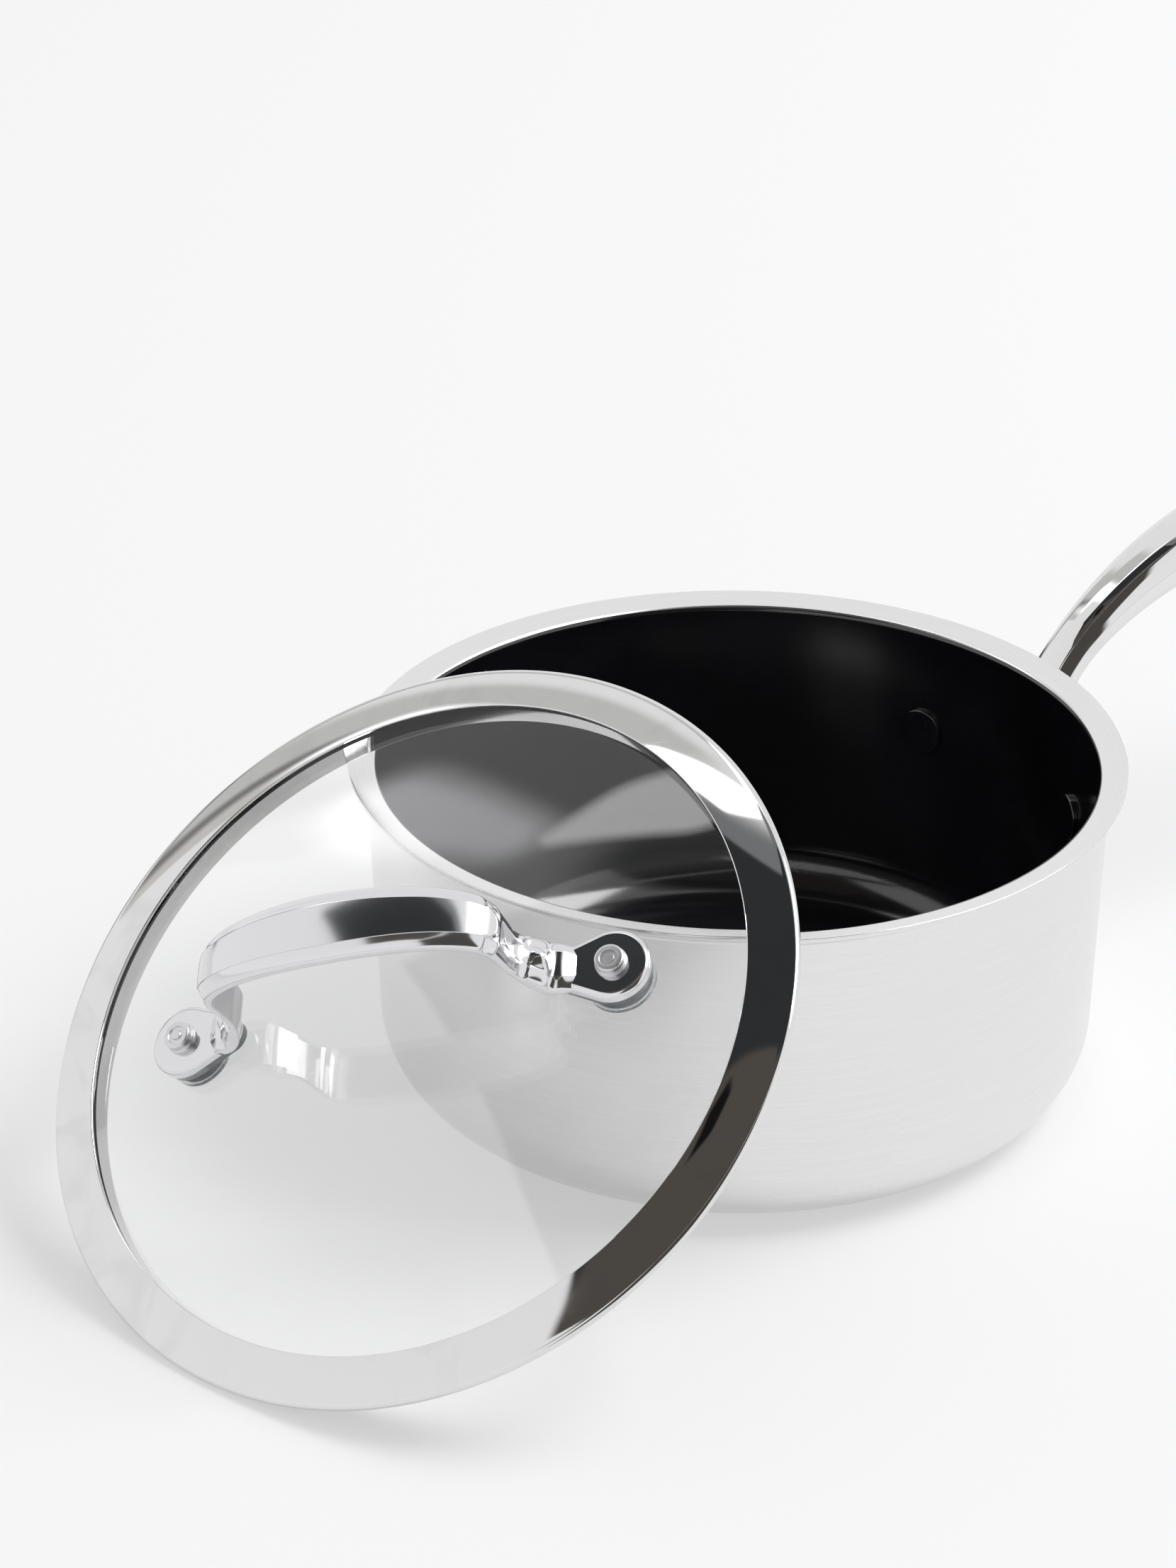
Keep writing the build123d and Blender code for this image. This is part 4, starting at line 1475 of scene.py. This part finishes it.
    def build(self, looks: Looks) -> None:
        """Make the lid's pieces.

        Args:
            looks: The materials.
        """
        clear = looks.clear_glass("glass")
        mirror = looks.polished("band_steel", Finish(
            (0.76, 0.755, 0.75), roughness=0.03, spread=0.04, wave=0.08), self.place)
        cast = bpy.data.materials["polished_cast_steel"]
        silicone = looks.silicone("clear_silicone")
        finish_piece(self.glass(), Body.LID, "glass", (clear,), "lid_glass")
        finish_piece(self.band(), Body.LID, "band_steel", (mirror,), "lid_band")
        finish_piece(self.handle(), Body.LID, "polished_cast_steel", (cast,), "lid_handle")
        size = self.studs
        for name, side in (("left", 1), ("right", -1)):
            place = self.stud_place(side)
            steel = looks.brushed(f"turned_steel_{name}", Finish(
                (0.72, 0.72, 0.73), roughness=0.36, fineness=4200.0, depth=0.3), place)
            finish_piece(self.post(f"stud_{name}", side), Body.LID, "turned_steel", (steel,),
                         f"post_{name}")
            gasket = self.pad(place, size.gasket_low, size.washer, size.gasket_fillet, size.margin,
                              size.post)
            gasket = Shell(f"gasket_{name}").grid(gasket, ring=True).build()
            finish_piece(gasket, Body.LID, "clear_silicone", (silicone,), f"clear_washer_{name}")
            recolour(f"seal_{name}", silicone)
            recolour(f"steel_washer_{name}", steel)
            recolour(f"screw_{name}", steel)


def recolour(node: str, material: bpy.types.Material) -> None:
    """Give a CAD node that stays a material of the scene.

    Args:
        node: Name of the node.
        material: Its new material.
    """
    kept = FRAME["nodes"][node]
    kept.data.materials.clear()
    kept.data.materials.append(material)


# ---------------------------------------------------------------- the studio
@dataclass(frozen=True)
class Panel:
    """Part of the surroundings that the steel reflects, drawn on a plan of the sky.

    A direction's place in the plan is its x and y, so the horizon is the unit circle. The corners
    go round anticlockwise and the outline has no dents."""

    corners: tuple[Pair, ...]
    edge: float
    color: Triple


@dataclass(frozen=True)
class Studio:
    """Camera, floor, light and surroundings, in metres, watts and the lens's millimetres."""

    lens: float = 113.889
    sensor: float = 36.0
    camera_right: Triple = (0.818708, -0.574210, -0.000206)
    camera_up: Triple = (0.261923, 0.373131, 0.890039)
    camera_back: Triple = (-0.510992, -0.728736, 0.455884)
    camera_at: Triple = (-0.584837, -0.776105, 0.566228)
    camera_reach: float = 50.0
    floor_half: float = 14.0
    floor_glow: float = 0.43
    light_at: Triple = (2.2, -1.12, 3.12)
    light_aim: Triple = (0.0, 0.0, 0.03)
    light_width: float = 2.2
    light_power: float = 120.0
    fill: tuple[float, ...] = (0.64, 0.64, 0.645, 1)
    panels: tuple[Panel, ...] = (
        # Grey area low on the far side, with a paler strip and a dark line.
        Panel(((-0.22, 0.50), (0.00, 0.42), (-0.01, 0.62), (-0.06, 0.95), (-0.24, 0.97)), 0.045,
              (0.62, 0.62, 0.61)),
        Panel(((-0.30, 0.76), (-0.20, 0.66), (-0.20, 1.0), (-0.26, 1.0)), 0.006,
              (0.66, 0.65, 0.63)),
        Panel(((-0.235, 0.66), (-0.19, 0.66), (-0.20, 1.0), (-0.245, 1.0)), 0.02,
              (0.24, 0.24, 0.235)),
        # Large dark area overhead: its soft border, the area and a browner part of it.
        Panel(((-0.55, -0.20), (0.17, -0.50), (0.17, -0.10), (0.0, 0.27), (-0.20, 0.47),
               (-0.40, 0.42)), 0.05, (0.2, 0.205, 0.21)),
        Panel(((-0.80, -0.17), (-0.55, -0.50), (0.08, -0.50), (0.08, -0.12), (-0.06, 0.19),
               (-0.24, 0.40), (-0.45, 0.57), (-0.62, 0.17)), 0.005, (0.032, 0.034, 0.036)),
        Panel(((-0.79, -0.17), (-0.55, -0.48), (0.0, -0.48), (-0.30, 0.02), (-0.43, 0.21),
               (-0.60, 0.18)), 0.010, (0.088, 0.078, 0.070)),
        # Bright patch beside the grey area.
        Panel(((-0.28, 0.54), (-0.22, 0.52), (-0.18, 0.72), (-0.24, 0.77), (-0.30, 0.70)), 0.03,
              (2.6, 2.6, 2.66)),
        # Small dark spot, dark strip at the far horizon and dark area behind the camera.
        Panel(((-0.50, 0.12), (-0.46, 0.09), (-0.41, 0.11), (-0.41, 0.15), (-0.45, 0.17)), 0.008,
              (0.008, 0.008, 0.008)),
        Panel(((-0.42, 0.90), (-0.15, 0.965), (0.25, 0.96), (0.30, 1.10), (-0.55, 1.10)), 0.008,
              (0.03, 0.034, 0.045)),
        Panel(((-0.60, -0.52), (-0.70, -0.80), (-0.60, -1.10), (0.15, -1.10), (0.10, -0.55)),
              0.02, (0.075, 0.070, 0.064)),
        # Bright wedge between the grey and the dark areas.
        Panel(((-0.28, 0.46), (-0.21, 0.42), (-0.12, 0.335), (-0.05, 0.235), (0.05, 0.20),
               (0.04, 0.28), (-0.01, 0.38), (-0.07, 0.455), (-0.14, 0.505), (-0.24, 0.53)), 0.007,
              (3.0, 3.0, 3.04)),
    )

    def camera(self) -> None:
        """Set the camera, a long lens from above one side."""
        data = bpy.data.cameras.new("camera")
        data.lens, data.sensor_width = self.lens, self.sensor
        data.clip_end = self.camera_reach
        data.dof.use_dof = False
        camera = bpy.data.objects.new("camera", data)
        rows = zip(self.camera_right, self.camera_up, self.camera_back, self.camera_at)
        camera.matrix_world = Matrix([*rows, (0, 0, 0, 1)])
        bpy.context.scene.collection.objects.link(camera)
        bpy.context.scene.camera = camera

    def floor(self) -> None:
        """Lay a wide pale floor with a faint grain."""
        corners = self.floor_half * np.array([(-1, -1, 0), (1, -1, 0), (1, 1, 0), (-1, 1, 0)])
        mesh = bpy.data.meshes.new("floor")
        mesh.from_pydata(corners.tolist(), [], [(0, 1, 2, 3)])
        floor = bpy.data.objects.new("floor", mesh)
        bpy.context.scene.collection.objects.link(floor)
        material, nodes, vector = start_material("floor_paper")
        grain = nodes.noise(vector, scale=900.0, detail=2.0)
        color = nodes.mix(grain, (0.425, 0.425, 0.427, 1), (0.435, 0.435, 0.437, 1))
        paper = nodes.add("BsdfPrincipled", {"Base Color": color, "Roughness": 0.75,
                                             "Specular IOR Level": 0.0,
                                             "Emission Color": (1, 1, 1, 1),
                                             "Emission Strength": self.floor_glow})
        nodes.add("OutputMaterial", {"Surface": paper.outputs[0]})
        mesh.materials.append(material)

    def light(self) -> None:
        """Hang a soft square light that faces the pan.

        Its axes are the way from the pan to the light, a level one square to it, and the third."""
        data = bpy.data.lights.new("key", "AREA")
        data.shape, data.energy = "RECTANGLE", self.light_power
        data.size = data.size_y = self.light_width
        way = np.array(self.light_at) - self.light_aim
        way /= np.linalg.norm(way)
        side = np.cross((0, 0, 1), way)
        side /= np.linalg.norm(side)
        turn = Matrix(np.column_stack([side, np.cross(way, side), way]).tolist()).to_4x4()
        light = bpy.data.objects.new("key", data)
        light.matrix_world = Matrix.Translation(self.light_at) @ turn
        bpy.context.scene.collection.objects.link(light)

    def surroundings(self) -> None:
        """Make the world: plain light for the floor and panels for reflections.

        A panel's mask is the product, over its sides, of a smooth step of the distance inside the
        side. Each panel covers the ones before it."""
        world = bpy.data.worlds.new("studio")
        world.use_nodes = True
        world.node_tree.nodes.clear()
        bpy.context.scene.world = world
        nodes = Nodes(world.node_tree)
        way = nodes.add("TexCoord").outputs["Generated"]
        height = nodes.add("SeparateXYZ", {0: way}).outputs[2]
        level = nodes.ramp(height, -0.1, 0.9, 0.97, 0.92)
        sky = nodes.add("CombineColor", {0: level, 1: level, 2: nodes.math("MULTIPLY", level, 1.01)})
        shade = sky.outputs[0]
        for panel in self.panels:
            corners = np.array(panel.corners)
            sides = np.roll(corners, -1, axis=0) - corners
            sides /= np.linalg.norm(sides, axis=1, keepdims=True)
            mask: bpy.types.NodeSocket | float = 1.0
            for corner, (ahead, left) in zip(corners, sides):
                inward = (-left, ahead, 0.0)
                depth = nodes.math("SUBTRACT", nodes.vector("DOT_PRODUCT", way, inward),
                                   float(corner @ inward[:2]))
                mask = nodes.math("MULTIPLY", mask, nodes.ramp(depth, -panel.edge, panel.edge))
            shade = nodes.mix(mask, shade, panel.color + (1.0,))
        shown = nodes.add("Background", {"Color": shade, "Strength": 1.0})
        plain = nodes.add("Background", {"Color": self.fill, "Strength": 1.0})
        rays = nodes.add("LightPath")
        mixed = nodes.add("MixShader", {0: rays.outputs["Is Glossy Ray"], 1: plain.outputs[0],
                                        2: shown.outputs[0]})
        nodes.add("OutputWorld", {"Surface": mixed.outputs[0]})

    def build(self) -> None:
        """Set up the studio."""
        self.camera()
        self.floor()
        self.surroundings()
        self.light()
        bpy.context.scene.view_settings.view_transform = "Standard"


def main() -> None:
    """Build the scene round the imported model."""
    logging.basicConfig(level=logging.INFO, format="%(name)s: %(message)s")
    FRAME.update(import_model())
    pan_sizes = PanSizes()
    lid = Lid(LidSizes(), StudSizes(), StrapSizes(), pan_sizes)
    looks = Looks(lid.place)
    pan = Pan(pan_sizes, RivetSizes())
    pan.build(looks)
    LongHandle(GripSizes(), pan).build(looks)
    lid.build(looks)
    recolour("aluminium_core", looks.brushed("aluminium", Finish((0.78, 0.78, 0.8), roughness=0.35)))
    Studio().build()


if __name__ == "__main__":
    main()
